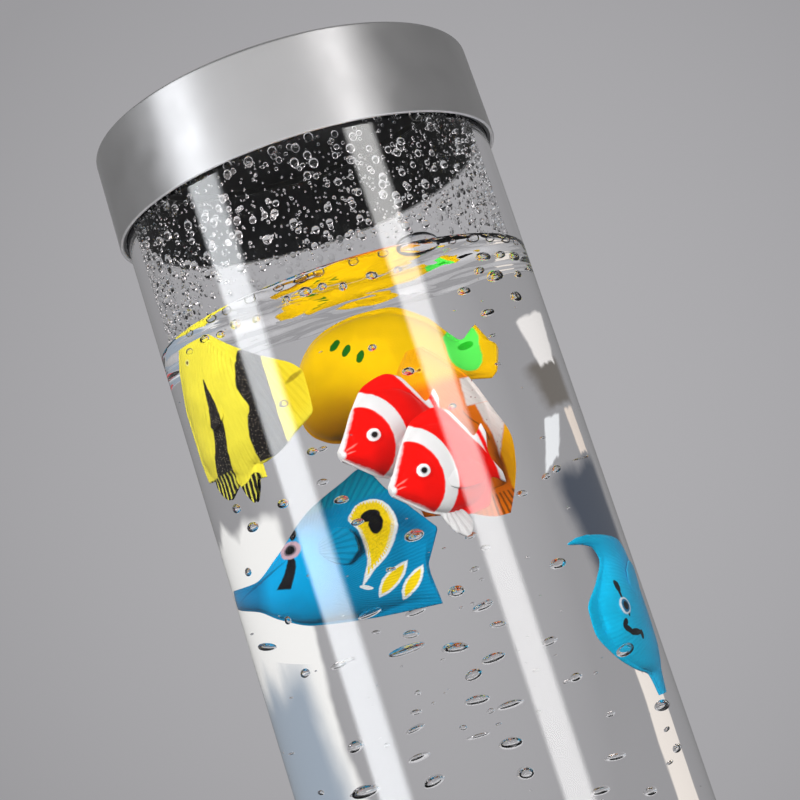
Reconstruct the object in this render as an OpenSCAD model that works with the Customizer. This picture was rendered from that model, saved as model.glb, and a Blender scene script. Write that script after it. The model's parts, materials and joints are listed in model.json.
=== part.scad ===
// Bubble tube floor lamp. A clear column of water stands in a round base, under a
// lift-off cap. An air pump and colour lights sit in the base, and seven loose
// moulded fish drift in the water. The floor is z = 0 and the front is -Y.

/* [Overall] */
// Height from the floor to the top of the cap
lamp_h = 1050; // [800:10:1400]

/* [Tube] */
// Outside diameter of the clear tube
tube_d = 100; // [98:1:110]
// Wall of the clear tube
tube_wall = 3; // [2.5:0.25:4]
// Air space between the cap's rim and the water
water_gap = 31.3; // [25:1:60]
// Thickness of the clear plug at the tube's foot
plug_t = 8; // [6:1:12]
// Gap left for the glue round the plug
glue_gap = 0.05; // [0.03:0.01:0.1]

/* [Cap] */
// Height of the cap's side
cap_h = 24.5; // [20:0.5:40]
// Wall of the cap's silver skin at its rim
cap_skin = 0.95; // [0.8:0.05:1.5]
// How far the skin leans in from its rim to its top
cap_draft = 0.35; // [0:0.05:0.6]
// Thickness of the cap's top
cap_top_t = 1.5; // [1.2:0.1:3]
// Rounding of the cap's upper edge
cap_edge = 0.8; // [0.4:0.1:1.2]
// Wall of the black liner inside the cap
liner_wall = 0.7; // [0.6:0.1:1]
// Sliding clearance between the liner and the tube
cap_fit = 0.3; // [0.2:0.05:0.5]
// Thickness of the soft ring that the cap rests on
gasket_t = 1.5; // [1:0.5:3]

/* [Base] */
// Diameter of the base at the floor
base_d = 236; // [226:2:300]
// Height of the upright band that holds the controls
band_h = 27; // [26:0.5:32]
// Height of the base's shoulder
shoulder_h = 138; // [134:1:160]
// How far the shoulder reaches out past the collar ring
shoulder_step = 11.5; // [11:0.5:16]
// Wall of the base housing
base_wall = 3; // [2.5:0.25:3.5]
// Thickness of the plate that closes the base
plate_t = 3; // [2.5:0.5:4]
// How far the rubber feet stand out below the plate
foot_h = 3; // [2:0.5:6]
// Diameter of a rubber foot
foot_d = 18; // [14:1:22]
// Depth of the socket that the tube stands in
socket_depth = 26; // [24:1:30]
// Clearance round the tube in its socket
socket_fit = 0.35; // [0.3:0.05:0.6]
// Height of the collar ring above the shoulder
collar_h = 12; // [10:1:18]
// Width of the collar ring
collar_w = 10; // [9.5:0.5:12]

/* [Light] */
// Number of light chips
led_count = 12; // [6:1:16]
// Radius of the ring of light chips
led_ring_r = 28; // [24:1:32]
// Side of a light chip
led_side = 5; // [3:0.5:6]

/* [Air] */
// Radius of the bubble disc
disc_r = 20; // [16:1:26]
// Number of air holes in the bubble disc's outer ring
air_holes = 12; // [6:1:16]
// Outside diameter of the air hose
hose_d = 6; // [5:0.5:7]
// Bore of the air hose
hose_bore = 4; // [3:0.5:4]
// Length of the air pump
pump_l = 60; // [50:1:62]
// Width of the air pump
pump_w = 44; // [36:1:48]
// Height of the pump body under its lid
pump_h = 23; // [20:1:24]

/* [Controls] */
// Width of the rocker switch's opening
switch_w = 19; // [17:0.5:20]
// Height of the rocker switch's opening
switch_h = 13; // [11:0.5:13]
// Diameter of the mode button
button_d = 10.4; // [8:0.1:12]
// Travel of the mode button
button_travel = 1.2; // [0.8:0.1:1.6]
// Radius of the power inlet's centre pin
inlet_pin_r = 1.0; // [0.8:0.05:1.3]

/* [Fish] */
// Thickness of the moulded fins
fin_t = 1.0; // [0.8:0.1:1.4]

/* [Hidden] */
$fn = 96;
eps = 0.01;
seat_gap = 0.3;      // space between pieces that meet but don't touch
thread_gap = 0.05;   // space round a screw in its hole

// tube and cap
tube_r = tube_d / 2;
bore_r = tube_r - tube_wall;
liner_in_r = tube_r + cap_fit;
liner_out_r = liner_in_r + liner_wall;
cap_r = liner_out_r + thread_gap + cap_skin;
cap_z = lamp_h - cap_h;
water_z = cap_z - water_gap;
ceiling_t = 1.2;
tube_top = lamp_h - cap_top_t - ceiling_t - gasket_t;

// base
base_r = base_d / 2;
plate_top = foot_h + plate_t;
band_top = foot_h + band_h;
band_edge = 5;
inside_r = base_r - base_wall;
boss_r = 5.5;
boss_ring = inside_r - boss_r + 0.5;
foot_ring = base_r - 33;
socket_r = tube_r + socket_fit;
socket_z = shoulder_h - socket_depth;
ledge_r = bore_r - 5;
seat_t = 1.5;
tube_z = socket_z + seat_t;
shoulder_round = 10;
collar_r = socket_r + collar_w;
shoulder_r = collar_r + shoulder_step;
rear_y = base_r - 4;          // flat recess at the back of the band
control_z = foot_h + band_h / 2;
pocket_h = 18;
pocket_w = 58;
panel_t = 3;

// lights
light_t = 1.6;
light_boss_h = 4;
light_z = socket_z - 3 - light_boss_h - light_t;
light_r = ledge_r + 7;
light_screw_ring = light_r - 3;

// air line
plug_top = tube_z + plug_t;
nozzle_r = 4;
flange_r = 9;
flange_t = 2.5;
nut_t = 3.4;
washer_t = 0.6;
disc_z = plug_top + flange_t;
disc_h = 10;
barb_r = hose_bore / 2 - thread_gap;
valve_x = -38;
pump_z = plate_top + 8;
lid_t = 3;
lid_top = pump_z + pump_h + lid_t;
nipple_l = 7;
valve_z = lid_top + 2 * nipple_l - 1;
valve_h = 16;
valve_top = valve_z + valve_h;
bend_r = 7;
hose_level = valve_top + nipple_l + bend_r;
nozzle_foot = hose_level + bend_r + 1;
hose_end = nozzle_foot + nipple_l;

// control board
board_x = 43;
board_y = -6;
board_l = 50;
board_w = 60;
board_t = 1.6;
board_z = plate_top + 6;
board_top = board_z + board_t;
lead_r = 1.6;

// ---- shapes used more than once ----

// point at angle a on a circle of radius r round c
function on_circle(c, r, a) = [c[0] + r * cos(a), c[1] + r * sin(a)];

// arc of n steps
function arc(c, r, a0, a1, n = 8) = [for (i = [0:n]) on_circle(c, r, a0 + (a1 - a0) * i / n)];

// cubic curve from four control points
function bezier(p, n = 14) = [for (i = [0:n]) let (t = i / n, u = 1 - t)
  u * u * u * p[0] + 3 * u * u * t * p[1] + 3 * u * t * t * p[2] + t * t * t * p[3]];

// value between b and c on a smooth curve through a, b, c and d
function spline_at(a, b, c, d, t) = 0.5 * (2 * b + (c - a) * t
  + (2 * a - 5 * b + 4 * c - d) * t * t + (3 * b - 3 * c + d - a) * t * t * t);

// smooth open curve through the rows of p, n steps a span
function smooth(p, n) = let (m = len(p) - 1) concat(
  [for (i = [0:m - 1], k = [0:n - 1])
    spline_at(p[max(i - 1, 0)], p[i], p[i + 1], p[min(i + 2, m)], k / n)], [p[m]]);

// smooth closed curve through the points of p
function smooth_loop(p, n) = let (m = len(p)) [for (i = [0:m - 1], k = [0:n - 1])
  spline_at(p[(i + m - 1) % m], p[i], p[(i + 1) % m], p[(i + 2) % m], k / n)];

module ring(r_in, r_out, z0, z1) {
  translate([0, 0, z0]) difference() {
    cylinder(r = r_out, h = z1 - z0);
    translate([0, 0, -1]) cylinder(r = r_in, h = z1 - z0 + 2);
  }
}

module disc(r, z0, z1) { translate([0, 0, z0]) cylinder(r = r, h = z1 - z0); }

module round_plate(l, w, r, z0, z1) {
  translate([0, 0, z0]) linear_extrude(z1 - z0) {
    square([l - 2 * r, w], center = true);
    square([l, w - 2 * r], center = true);
    for (x = [-1, 1], y = [-1, 1])
      translate([x * (l / 2 - r), y * (w / 2 - r)]) circle(r = r, $fn = 32);
  }
}

module around(n, r, start = 0) {
  for (i = [0:n - 1]) rotate(start + 360 * i / n) translate([r, 0, 0]) children();
}

module screw(r, head_r, head_t, length) {
  cylinder(r = head_r, h = head_t, $fn = 32);
  cylinder(r = r, h = length, $fn = 32);
}

// round lead along a smooth curve through pts
module lead(pts, r, steps = 4) {
  path = smooth(pts, steps);
  sides = 8;
  last = len(path) - 1;
  function dir(i) = let (d = path[min(i + 1, last)] - path[max(i - 1, 0)]) d / norm(d);
  function side(d) = let (s = cross(d, abs(d[2]) < 0.9 ? [0, 0, 1] : [0, 1, 0])) s / norm(s);
  points = [for (i = [0:last]) let (d = dir(i), s = side(d), u = cross(s, d))
    for (k = [0:sides - 1]) path[i] + r * (cos(360 * k / sides) * s + sin(360 * k / sides) * u)];
  walls = [for (i = [0:last - 1], k = [0:sides - 1]) let (a = i * sides + k,
    b = i * sides + (k + 1) % sides) each [[a, b, b + sides], [a, b + sides, a + sides]]];
  polyhedron(points, concat([[for (k = [sides - 1:-1:0]) k]], walls,
    [[for (k = [0:sides - 1]) last * sides + k]]), convexity = 6);
}

// ---- tube ----

module tube() {
  color([0.92, 0.97, 1, 0.35]) ring(bore_r, tube_r, tube_z, tube_top);
}

module tube_plug() {
  color([0.9, 0.96, 1, 0.5]) difference() {
    disc(bore_r - glue_gap, tube_z, plug_top);
    disc(nozzle_r, tube_z - 1, plug_top + 1);
  }
}

module tube_seat() {
  color([0.1, 0.1, 0.1]) ring(ledge_r + 0.5, tube_r, socket_z, tube_z);
}

// ---- base ----

flare = [[base_r - 7, band_top], [base_r - 30, band_top + 12],
         [shoulder_r + 6, shoulder_h - 62], [shoulder_r, shoulder_h - shoulder_round]];

function outer_side() = concat(
  [[base_r, foot_h]],
  arc([base_r - band_edge, band_top - band_edge], band_edge, 0, 90, 6),
  bezier(flare),
  arc([shoulder_r - shoulder_round, shoulder_h - shoulder_round], shoulder_round, 0, 90, 6));

// the same side, w deeper in the wall
function inner_side(w) = concat(
  [[base_r - w, band_top - band_edge - w]],
  [[base_r - 7 - w, band_top - w]],
  bezier([for (p = flare) p + [-w, -w * 0.7]]),
  arc([shoulder_r - shoulder_round, shoulder_h - shoulder_round], shoulder_round - w, 0, 90, 6));

module housing_shell() {
  inner = inner_side(base_wall);
  rotate_extrude() polygon(concat(
    outer_side(),
    [[socket_r, shoulder_h], [socket_r, socket_z], [ledge_r, socket_z],
     [ledge_r, socket_z - 3], [socket_r + 3, socket_z - 3],
     [socket_r + 3, shoulder_h - base_wall]],
    [for (i = [len(inner) - 1:-1:0]) inner[i]],
    [[inside_r, foot_h]]));
}

// what is inside the middle of the housing's wall
module wall_form() {
  w = base_wall / 2;
  rotate_extrude() polygon(concat([[0, foot_h + 1], [base_r - w, foot_h + 1]], inner_side(w),
    [[0, shoulder_h - w]]));
}

module housing_ribs() {
  for (i = [0:5]) rotate(30 + 60 * i) translate([socket_r + 2, -1, socket_z - 3])
    cube([shoulder_r - socket_r + 20, 2, shoulder_h - socket_z]);
}

module rear_pocket(y0, y1, w, h) {
  translate([-w / 2, y0, control_z - h / 2]) cube([w, y1 - y0, h]);
}

inlet_x = -14;
inlet_body_r = 5.5;
inlet_flange_r = 6.5;
inlet_bore_r = 2.8;
switch_x = 11;
sleeve_r = button_d / 2 + 0.8;
sleeve_flange_r = sleeve_r + 2;
spot_y = base_r - 2;

module base_housing() {
  color([0.75, 0.75, 0.77]) difference() {
    union() {
      housing_shell();
      around(3, light_screw_ring, 30) disc(3.5, light_z + light_t, socket_z - 1.5);
      intersection() {
        wall_form();
        union() {
          housing_ribs();
          around(4, boss_ring, 45) disc(boss_r, plate_top + seat_gap, band_top + 4);
          translate([-pocket_w / 2 - 4, rear_y - panel_t, plate_top + seat_gap])
            cube([pocket_w + 8, 8, band_h - plate_t - 3]);
          translate([0, -rear_y + 5, control_z]) rotate([90, 0, 0]) cylinder(r = 10, h = 12);
        }
      }
    }
    rear_pocket(rear_y, base_r + 1, pocket_w, pocket_h);
    translate([inlet_x, rear_y - panel_t - 1, control_z]) rotate([-90, 0, 0])
      cylinder(r = inlet_body_r + thread_gap, h = panel_t + 2);
    translate([switch_x - switch_w / 2, rear_y - panel_t - 1, control_z - switch_h / 2])
      cube([switch_w, panel_t + 2, switch_h]);
    translate([0, -base_r - 1, control_z]) rotate([-90, 0, 0])
      cylinder(r = sleeve_flange_r + 0.4, h = base_r - spot_y + 1);
    translate([0, -base_r - 1, control_z]) rotate([-90, 0, 0])
      cylinder(r = sleeve_r + thread_gap, h = 16);
    around(4, boss_ring, 45) disc(1.6 + thread_gap, plate_top - 1, plate_top + 15);
    around(3, light_screw_ring, 30) disc(1.2 + thread_gap, light_z, socket_z - 2.4);
    around(4, (socket_r + 3 + collar_r) / 2, 45)
      disc(1.2 + thread_gap, shoulder_h - base_wall - 1, shoulder_h + 1);
  }
}

module base_plate() {
  color([0.16, 0.16, 0.17]) difference() {
    union() {
      disc(inside_r - seat_gap, foot_h, plate_top);
      translate([board_x, board_y, 0]) for (x = [-1, 1], y = [-1, 1])
        translate([x * (board_l / 2 - 4), y * (board_w / 2 - 4), 0]) disc(3, plate_top - eps, board_z);
    }
    around(4, boss_ring, 45) screw_hole(1.8, 3.4);
    around(4, foot_ring) disc(2.5, foot_h - 1, plate_top + 1);
    around(8, foot_ring, 22.5) vent_slot();
    pump_feet() screw_hole(1.7, 3.2);
    translate([board_x, board_y, 0]) for (x = [-1, 1], y = [-1, 1])
      translate([x * (board_l / 2 - 4), y * (board_w / 2 - 4), 0])
        disc(1.2 + thread_gap, plate_top + 1, board_z + 1);
  }
}

module screw_hole(r, head_r) {
  disc(r, foot_h - 1, plate_top + 1);
  disc(head_r, foot_h - 1, foot_h + 1.7);
}

module vent_slot() {
  translate([0, 0, foot_h - 1]) linear_extrude(plate_t + 2) {
    square([18, 3], center = true);
    for (x = [-9, 9]) translate([x, 0]) circle(r = 1.5, $fn = 24);
  }
}

module rubber_feet() {
  color([0.08, 0.08, 0.08]) around(4, foot_ring) {
    disc(foot_d / 2, 0, foot_h);
    disc(2.5 - thread_gap, foot_h - eps, plate_top + 0.5);
    disc(3.2, plate_top, plate_top + 1.5);
  }
}

module base_screws() {
  color([0.6, 0.6, 0.62]) around(4, boss_ring, 45)
    translate([0, 0, foot_h + 0.2]) screw(1.6, 3, 1.5, plate_t + 12);
}

module collar_ring() {
  top = shoulder_h + collar_h;
  edge = 3;
  color([0.1, 0.1, 0.11]) difference() {
    rotate_extrude() polygon(concat(
      [[socket_r, shoulder_h], [collar_r, shoulder_h]],
      arc([collar_r - edge, top - edge], edge, 0, 90, 6),
      [[socket_r, top], [socket_r, top - 3], [socket_r + 1.8, top - 3],
       [socket_r + 1.8, top - 7], [socket_r, top - 7]]));
    around(4, (socket_r + 3 + collar_r) / 2, 45) disc(1.2 + thread_gap, shoulder_h - 1, shoulder_h + 4);
  }
}

module collar_seal() {
  top = shoulder_h + collar_h;
  color([0.05, 0.05, 0.05]) ring(tube_r + 0.02, socket_r + 1.75, top - 6.9, top - 3.1);
}

module collar_screws() {
  color([0.6, 0.6, 0.62]) around(4, (socket_r + 3 + collar_r) / 2, 45)
    translate([0, 0, shoulder_h - base_wall - 1.6]) screw(1.2, 2.2, 1.6, base_wall + 5);
}

// ---- lights ----

module light_board() {
  color([0.92, 0.93, 0.9]) difference() {
    ring(12, light_r, light_z, light_z + light_t);
    around(3, light_screw_ring, 30) disc(1.5, light_z - 1, light_z + light_t + 1);
  }
}

module light_chips() {
  top = light_z + light_t;
  color([0.98, 0.95, 0.8]) around(led_count, led_ring_r) translate([0, 0, top + 0.8])
    cube([led_side, led_side, 1.6], center = true);
}

module light_screws() {
  color([0.6, 0.6, 0.62]) around(3, light_screw_ring, 30)
    translate([0, 0, light_z - 1.6]) screw(1.2, 2.2, 1.6, 7.2);
}

// ---- air line ----

module air_nozzle() {
  color([0.85, 0.86, 0.88]) difference() {
    union() {
      disc(barb_r, nozzle_foot, hose_end + 1);
      disc(nozzle_r - thread_gap, hose_end + 0.7, plug_top + eps);
      disc(flange_r, plug_top, disc_z);
      disc(3, disc_z - eps, disc_z + 4);
    }
    disc(1, nozzle_foot - 1, disc_z + 5);
  }
}

module nozzle_washer() {
  color([0.08, 0.08, 0.08]) ring(nozzle_r + 0.05, 8, tube_z - washer_t, tube_z);
}

module nozzle_nut() {
  color([0.7, 0.7, 0.72]) translate([0, 0, tube_z - washer_t - nut_t]) difference() {
    cylinder(r = 7.6, h = nut_t, $fn = 6);
    translate([0, 0, -1]) cylinder(r = nozzle_r, h = nut_t + 2);
  }
}

module bubble_disc() {
  color([0.55, 0.56, 0.58]) difference() {
    rotate_extrude() polygon(concat([[0, disc_z], [disc_r - 2, disc_z], [disc_r, disc_z + 2]],
      arc([disc_r - 2, disc_z + disc_h - 2], 2, 0, 90, 4), [[0, disc_z + disc_h]]));
    disc(3 + thread_gap, disc_z - 1, disc_z + 5);
    around(air_holes, disc_r - 5) disc(0.9, disc_z + 4, disc_z + disc_h + 1);
    around(6, disc_r / 2 - 2) disc(0.9, disc_z + 6, disc_z + disc_h + 1);
  }
}

module hose_length(z0, z1) { ring(hose_bore / 2, hose_d / 2, z0, z1); }

module hose_bend(a0) {
  rotate([90, 0, 0]) rotate(a0) rotate_extrude(angle = 90) translate([bend_r, 0]) difference() {
    circle(r = hose_d / 2, $fn = 48);
    circle(r = hose_bore / 2, $fn = 48);
  }
}

module air_hose_upper() {
  run = -valve_x - 2 * bend_r;
  color([0.8, 0.82, 0.84]) {
    translate([valve_x, 0, 0]) hose_length(valve_top + seat_gap, hose_level - bend_r);
    translate([valve_x + bend_r, 0, hose_level - bend_r]) hose_bend(90);
    translate([valve_x + bend_r, 0, hose_level]) rotate([0, 90, 0]) hose_length(0, run);
    translate([-bend_r, 0, hose_level + bend_r]) hose_bend(270);
    hose_length(hose_level + bend_r, hose_end);
  }
}

module check_valve() {
  color([0.2, 0.35, 0.6]) translate([valve_x, 0, 0]) {
    disc(barb_r, valve_z - nipple_l + 1, valve_z + 1);
    disc(6, valve_z, valve_z + valve_h * 0.45);
    disc(4.6, valve_z + valve_h * 0.45 - eps, valve_z + valve_h * 0.55 + eps);
    disc(6, valve_z + valve_h * 0.55, valve_top);
    disc(barb_r, valve_top - 1, valve_top + nipple_l - 0.5);
  }
}

module air_hose_lower() {
  color([0.8, 0.82, 0.84]) translate([valve_x, 0, 0]) hose_length(lid_top + seat_gap, valve_z - seat_gap);
}

module pump_feet() {
  for (x = [-1, 1], y = [-1, 1])
    translate([valve_x + x * (pump_l / 2 - 8), y * (pump_w / 2 - 8), 0]) children();
}

module pump_body() {
  color([0.22, 0.23, 0.25]) difference() {
    translate([valve_x, 0, 0]) round_plate(pump_l, pump_w, 6, pump_z, pump_z + pump_h);
    pump_feet() disc(1.5 + thread_gap, pump_z - 1, pump_z + 10);
  }
}

module pump_lid() {
  color([0.3, 0.31, 0.33]) translate([valve_x, 0, 0]) {
    round_plate(pump_l, pump_w, 6, lid_top - lid_t, lid_top);
    for (i = [-2:2]) translate([-pump_l / 2 + 8, i * 6 - 1, lid_top - eps]) cube([12, 2, 1]);
    disc(barb_r, lid_top - 1, lid_top + nipple_l - 0.5);
  }
}

module pump_pillars() {
  color([0.08, 0.08, 0.08]) pump_feet() ring(1.5 + thread_gap, 5, plate_top, pump_z);
}

module pump_screws() {
  color([0.6, 0.6, 0.62]) pump_feet() translate([0, 0, foot_h + 0.2])
    screw(1.5, 2.9, 1.5, pump_z - foot_h + 8);
}

// ---- controls ----

module at_board_corners() {
  for (x = [-1, 1], y = [-1, 1])
    translate([board_x + x * (board_l / 2 - 4), board_y + y * (board_w / 2 - 4), 0]) children();
}

module control_board() {
  color([0.05, 0.35, 0.2]) difference() {
    translate([board_x - board_l / 2, board_y - board_w / 2, board_z]) cube([board_l, board_w, board_t]);
    at_board_corners() disc(1.5, board_z - 1, board_top + 1);
  }
}

// plug sockets on the board: place, and the side the lead leaves by
socket_l = 8;
socket_w = 7;
socket_h = 6;
power_port = [board_x - 14, board_y + board_w / 2 - 14];
switch_port = [board_x + 2, board_y + board_w / 2 - 14];
pump_port = [board_x - board_l / 2 + 8, board_y - 6];
light_port = [board_x + board_l / 2 - 8, board_y + 2];
button_port = [board_x - 12, board_y - board_w / 2 + 14];

module board_parts() {
  color([0.9, 0.9, 0.88]) for (p = [power_port, switch_port, pump_port, light_port, button_port])
    translate([p[0] - socket_l / 2, p[1] - socket_w / 2, board_top]) cube([socket_l, socket_w, socket_h]);
  color([0.1, 0.1, 0.1]) {
    translate([board_x + 1, board_y - 3, board_top]) cube([9, 9, 1.6]);
    translate([board_x + 12, board_y - 16, 0]) disc(5, board_top, board_top + 12);
  }
}

module board_screws() {
  color([0.6, 0.6, 0.62]) at_board_corners() {
    disc(2.4, board_top, board_top + 1.6);
    disc(1.2, board_z - 4, board_top + 1);
  }
}

inlet_depth = 9;
inlet_root_h = 3;    // thicker foot of the pin, inside the inlet's floor
inlet_root_r = inlet_pin_r + 0.5;

module at_inlet() { translate([inlet_x, rear_y + 1, control_z]) rotate([90, 0, 0]) children(); }

module power_inlet() {
  color([0.08, 0.08, 0.08]) at_inlet() difference() {
    union() {
      cylinder(r = inlet_flange_r, h = 1);
      cylinder(r = inlet_body_r, h = 13);
    }
    translate([0, 0, -1]) cylinder(r = inlet_bore_r, h = inlet_depth + 1, $fn = 48);
    cylinder(r = inlet_root_r + thread_gap, h = inlet_depth + inlet_root_h, $fn = 48);
  }
}

module inlet_pin() {
  color([0.8, 0.65, 0.3]) at_inlet() {
    translate([0, 0, 0.5]) cylinder(r = inlet_pin_r, h = inlet_depth, $fn = 48);
    translate([0, 0, inlet_depth]) cylinder(r = inlet_root_r, h = inlet_root_h, $fn = 48);
  }
}

module inlet_nut() {
  color([0.7, 0.7, 0.72]) translate([inlet_x, rear_y - panel_t, control_z]) rotate([90, 0, 0]) difference() {
    cylinder(r = 7.6, h = 2.5, $fn = 6);
    translate([0, 0, -1]) cylinder(r = inlet_body_r + thread_gap, h = 5);
  }
}

rocker_gap = 0.4;
rocker_w = switch_w - 3.5;
rocker_h = switch_h - 3.5;
rocker_y = rear_y + 0.2;
rocker_tilt = 9;

module switch_case() {
  color([0.07, 0.07, 0.07]) translate([switch_x, 0, control_z]) difference() {
    union() {
      translate([-switch_w / 2 - 1, rear_y, -switch_h / 2 - 1]) cube([switch_w + 2, 1.4, switch_h + 2]);
      translate([-switch_w / 2 + 0.2, rear_y - 12, -switch_h / 2 + 0.2])
        cube([switch_w - 0.4, 12 + eps, switch_h - 0.4]);
    }
    translate([-rocker_w / 2 - rocker_gap, rear_y - 5, -rocker_h / 2 - rocker_gap])
      cube([rocker_w + 2 * rocker_gap, 8, rocker_h + 2 * rocker_gap]);
    translate([0, rocker_y, -rocker_h / 2 - 1.2]) cylinder(r = 0.8, h = rocker_h + 2.4, $fn = 32);
  }
}

module switch_rocker() {
  h = rocker_h;
  dish_r = 18;                                  // hollow of the rocker's face
  dish_a = asin((rocker_w / 2 - 0.8) / dish_r);
  color([0.75, 0.06, 0.05]) translate([switch_x, rocker_y, control_z]) rotate([0, 0, -rocker_tilt]) {
    translate([0, 0, -h / 2]) linear_extrude(h)
      polygon(concat([[-rocker_w / 2 + 1.6, -2.4], [rocker_w / 2 - 1.6, -2.4]],
        [[rocker_w / 2 - 0.6, 1.2]], arc([0, dish_r + 1.2], dish_r, 270 + dish_a, 270 - dish_a, 8),
        [[-rocker_w / 2 + 0.6, 1.2]]));
    translate([0, 0, -h / 2 - 0.8]) cylinder(r = 0.74, h = h + 1.6, $fn = 32);
  }
}

module button_sleeve() {
  color([0.6, 0.6, 0.62]) translate([0, -spot_y, control_z]) rotate([-90, 0, 0]) difference() {
    union() {
      translate([0, 0, -1.4]) cylinder(r = sleeve_flange_r, h = 1.4);
      translate([0, 0, -eps]) cylinder(r = sleeve_r, h = 11);
    }
    translate([0, 0, -3]) cylinder(r = button_d / 2 + 0.1, h = 16);
  }
}

module mode_button() {
  proud = 1.8;
  color([0.85, 0.85, 0.86]) translate([0, -spot_y, control_z]) rotate([-90, 0, 0]) rotate_extrude()
    polygon(concat([[0, -proud]], arc([button_d / 2 - 0.6, -proud + 0.6], 0.6, -90, 0, 4),
      [[button_d / 2, 9], [2, 9], [2, 10.4 - button_travel], [0, 10.4 - button_travel]]));
}

module button_switch() {
  color([0.1, 0.1, 0.1]) translate([0, -spot_y + 11, control_z]) {
    translate([-sleeve_r, 0, -sleeve_r]) cube([2 * sleeve_r, 3, 2 * sleeve_r]);
    rotate([90, 0, 0]) cylinder(r = 1.6, h = 0.4, $fn = 32);
  }
}

// ---- leads inside the base ----

port_y = socket_w / 2 + seat_gap;
port_z = board_top + socket_h / 2;

module power_lead() {
  back = rear_y + 1 - 13 - seat_gap;
  color([0.08, 0.08, 0.08]) lead([[inlet_x, back, control_z], [inlet_x, back - 8, control_z],
    [inlet_x + 10, back - 30, control_z + 1], [power_port[0], power_port[1] + 24, port_z],
    [power_port[0], power_port[1] + 10, port_z], [power_port[0], power_port[1] + port_y, port_z]], lead_r);
}

module switch_lead() {
  back = rear_y - 12 - seat_gap;
  color([0.5, 0.05, 0.05]) lead([[switch_x, back, control_z], [switch_x, back - 3, control_z],
    [switch_x, back - 9, control_z], [switch_port[0] - 10, back - 28, control_z + 1],
    [switch_port[0], switch_port[1] + 24, port_z], [switch_port[0], switch_port[1] + 10, port_z],
    [switch_port[0], switch_port[1] + port_y, port_z]], lead_r);
}

module pump_lead() {
  start = valve_x + pump_l / 2 + seat_gap;
  stop = pump_port[0] - socket_l / 2 - seat_gap;
  color([0.1, 0.1, 0.3]) lead([[start, -12, pump_z + 8], [start + 6, -12, pump_z + 8],
    [(start + stop) / 2, (pump_port[1] - 12) / 2, pump_z + 7], [stop - 6, pump_port[1], port_z],
    [stop, pump_port[1], port_z]], lead_r);
}

module light_lead() {
  start = light_port[0] + socket_l / 2 + seat_gap;
  color([0.1, 0.1, 0.1]) lead([[start, light_port[1], port_z], [start + 2, light_port[1], port_z],
    [start + 6, light_port[1], port_z], [start + 9, light_port[1] + 2, 44], [light_r - 6, 8, 74],
    [light_r - 12, 8, light_z - 8], [light_r - 12, 8, light_z - seat_gap]], lead_r);
}

module button_lead() {
  start = -spot_y + 14 + seat_gap;
  color([0.1, 0.1, 0.1]) lead([[0, start, control_z], [0, start + 7, control_z],
    [10, start + 24, control_z + 1], [button_port[0], button_port[1] - 22, port_z],
    [button_port[0], button_port[1] - 9, port_z], [button_port[0], button_port[1] - port_y, port_z]],
    lead_r);
}

// ---- cap ----

module cap_shell() {
  top_r = cap_r - cap_draft;
  color([0.78, 0.78, 0.8]) rotate_extrude() polygon(concat(
    [[cap_r - cap_skin, cap_z + 0.3], [cap_r - cap_skin + 0.3, cap_z], [cap_r - 0.4, cap_z]],
    arc([cap_r - 0.4, cap_z + 0.4], 0.4, -90, 0, 4),
    arc([top_r - cap_edge, lamp_h - cap_edge], cap_edge, 0, 90, 6),
    [[0, lamp_h], [0, lamp_h - cap_top_t], [cap_r - cap_skin, lamp_h - cap_top_t]]));
}

module cap_liner() {
  top = lamp_h - cap_top_t;
  color([0.03, 0.03, 0.03]) rotate_extrude() polygon([
    [liner_in_r, cap_z + 0.6], [liner_out_r, cap_z + 0.6], [liner_out_r, top], [0, top],
    [0, top - ceiling_t], [liner_in_r, top - ceiling_t]]);
}

module cap_gasket() {
  color([0.15, 0.15, 0.15]) ring(bore_r, tube_r, tube_top, tube_top + gasket_t);
}

// ---- fish ----
// A fish lies along X with its nose at the origin and its back up. Each row of a form is
// a section: distance behind the nose, fin top, back, belly, fin bottom, half thickness.

butterfly_form = [[0, 5, 4, -4.6, -5.4, 1.6], [4.5, 9.5, 7, -6.4, -7.4, 3.4],
  [11, 17.5, 11.6, -8.2, -9, 4.8], [16, 25, 14, -9, -10, 5.2], [19, 27, 15, -9, -10, 5.2],
  [28, 26.4, 13.6, -9, -10, 4.4], [32, 19, 11, -7.6, -9.6, 3.2], [35, 13.5, 8.5, -6.4, -9, 2.2],
  [37, 9, 7.5, -5.5, -6.6, 1.5], [43.5, 9, 8.4, -6, -6.6, 0.9]];
round_form = [[0, 3.4, 2.8, -3.4, -4, 2.4], [1.6, 9, 8.4, -10, -10.6, 4.6],
  [3.6, 12.6, 12, -13, -13.6, 6.4], [7, 15.4, 14.6, -15, -15.8, 7.4],
  [12, 17.2, 16.2, -15.6, -16.6, 8], [17, 17.6, 16, -15.4, -16.4, 8],
  [24, 13.4, 11.8, -11.8, -12.8, 6.6], [29, 7.2, 6.2, -6, -7, 3.6],
  [31.5, 5.6, 4.8, -4.6, -5.4, 2], [36.6, 9, 8.4, -5.4, -6, 0.9]];
band_form = [[0, 1.3, 0.9, -0.9, -1.3, 0.9], [2.5, 4, 3.4, -3.2, -3.8, 2.6],
  [7, 9.6, 9, -7.4, -8, 4.4], [12, 14, 12, -9.6, -10.4, 5], [17, 15, 11.4, -9.6, -11.6, 4.6],
  [20.4, 13.2, 9, -8, -11.4, 3.4], [22.6, 8.4, 5.4, -4.8, -8, 2], [23.8, 5.4, 4.6, -4.6, -5.4, 1.3],
  [26.6, 7.6, 7, -7, -7.6, 0.9]];
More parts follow.
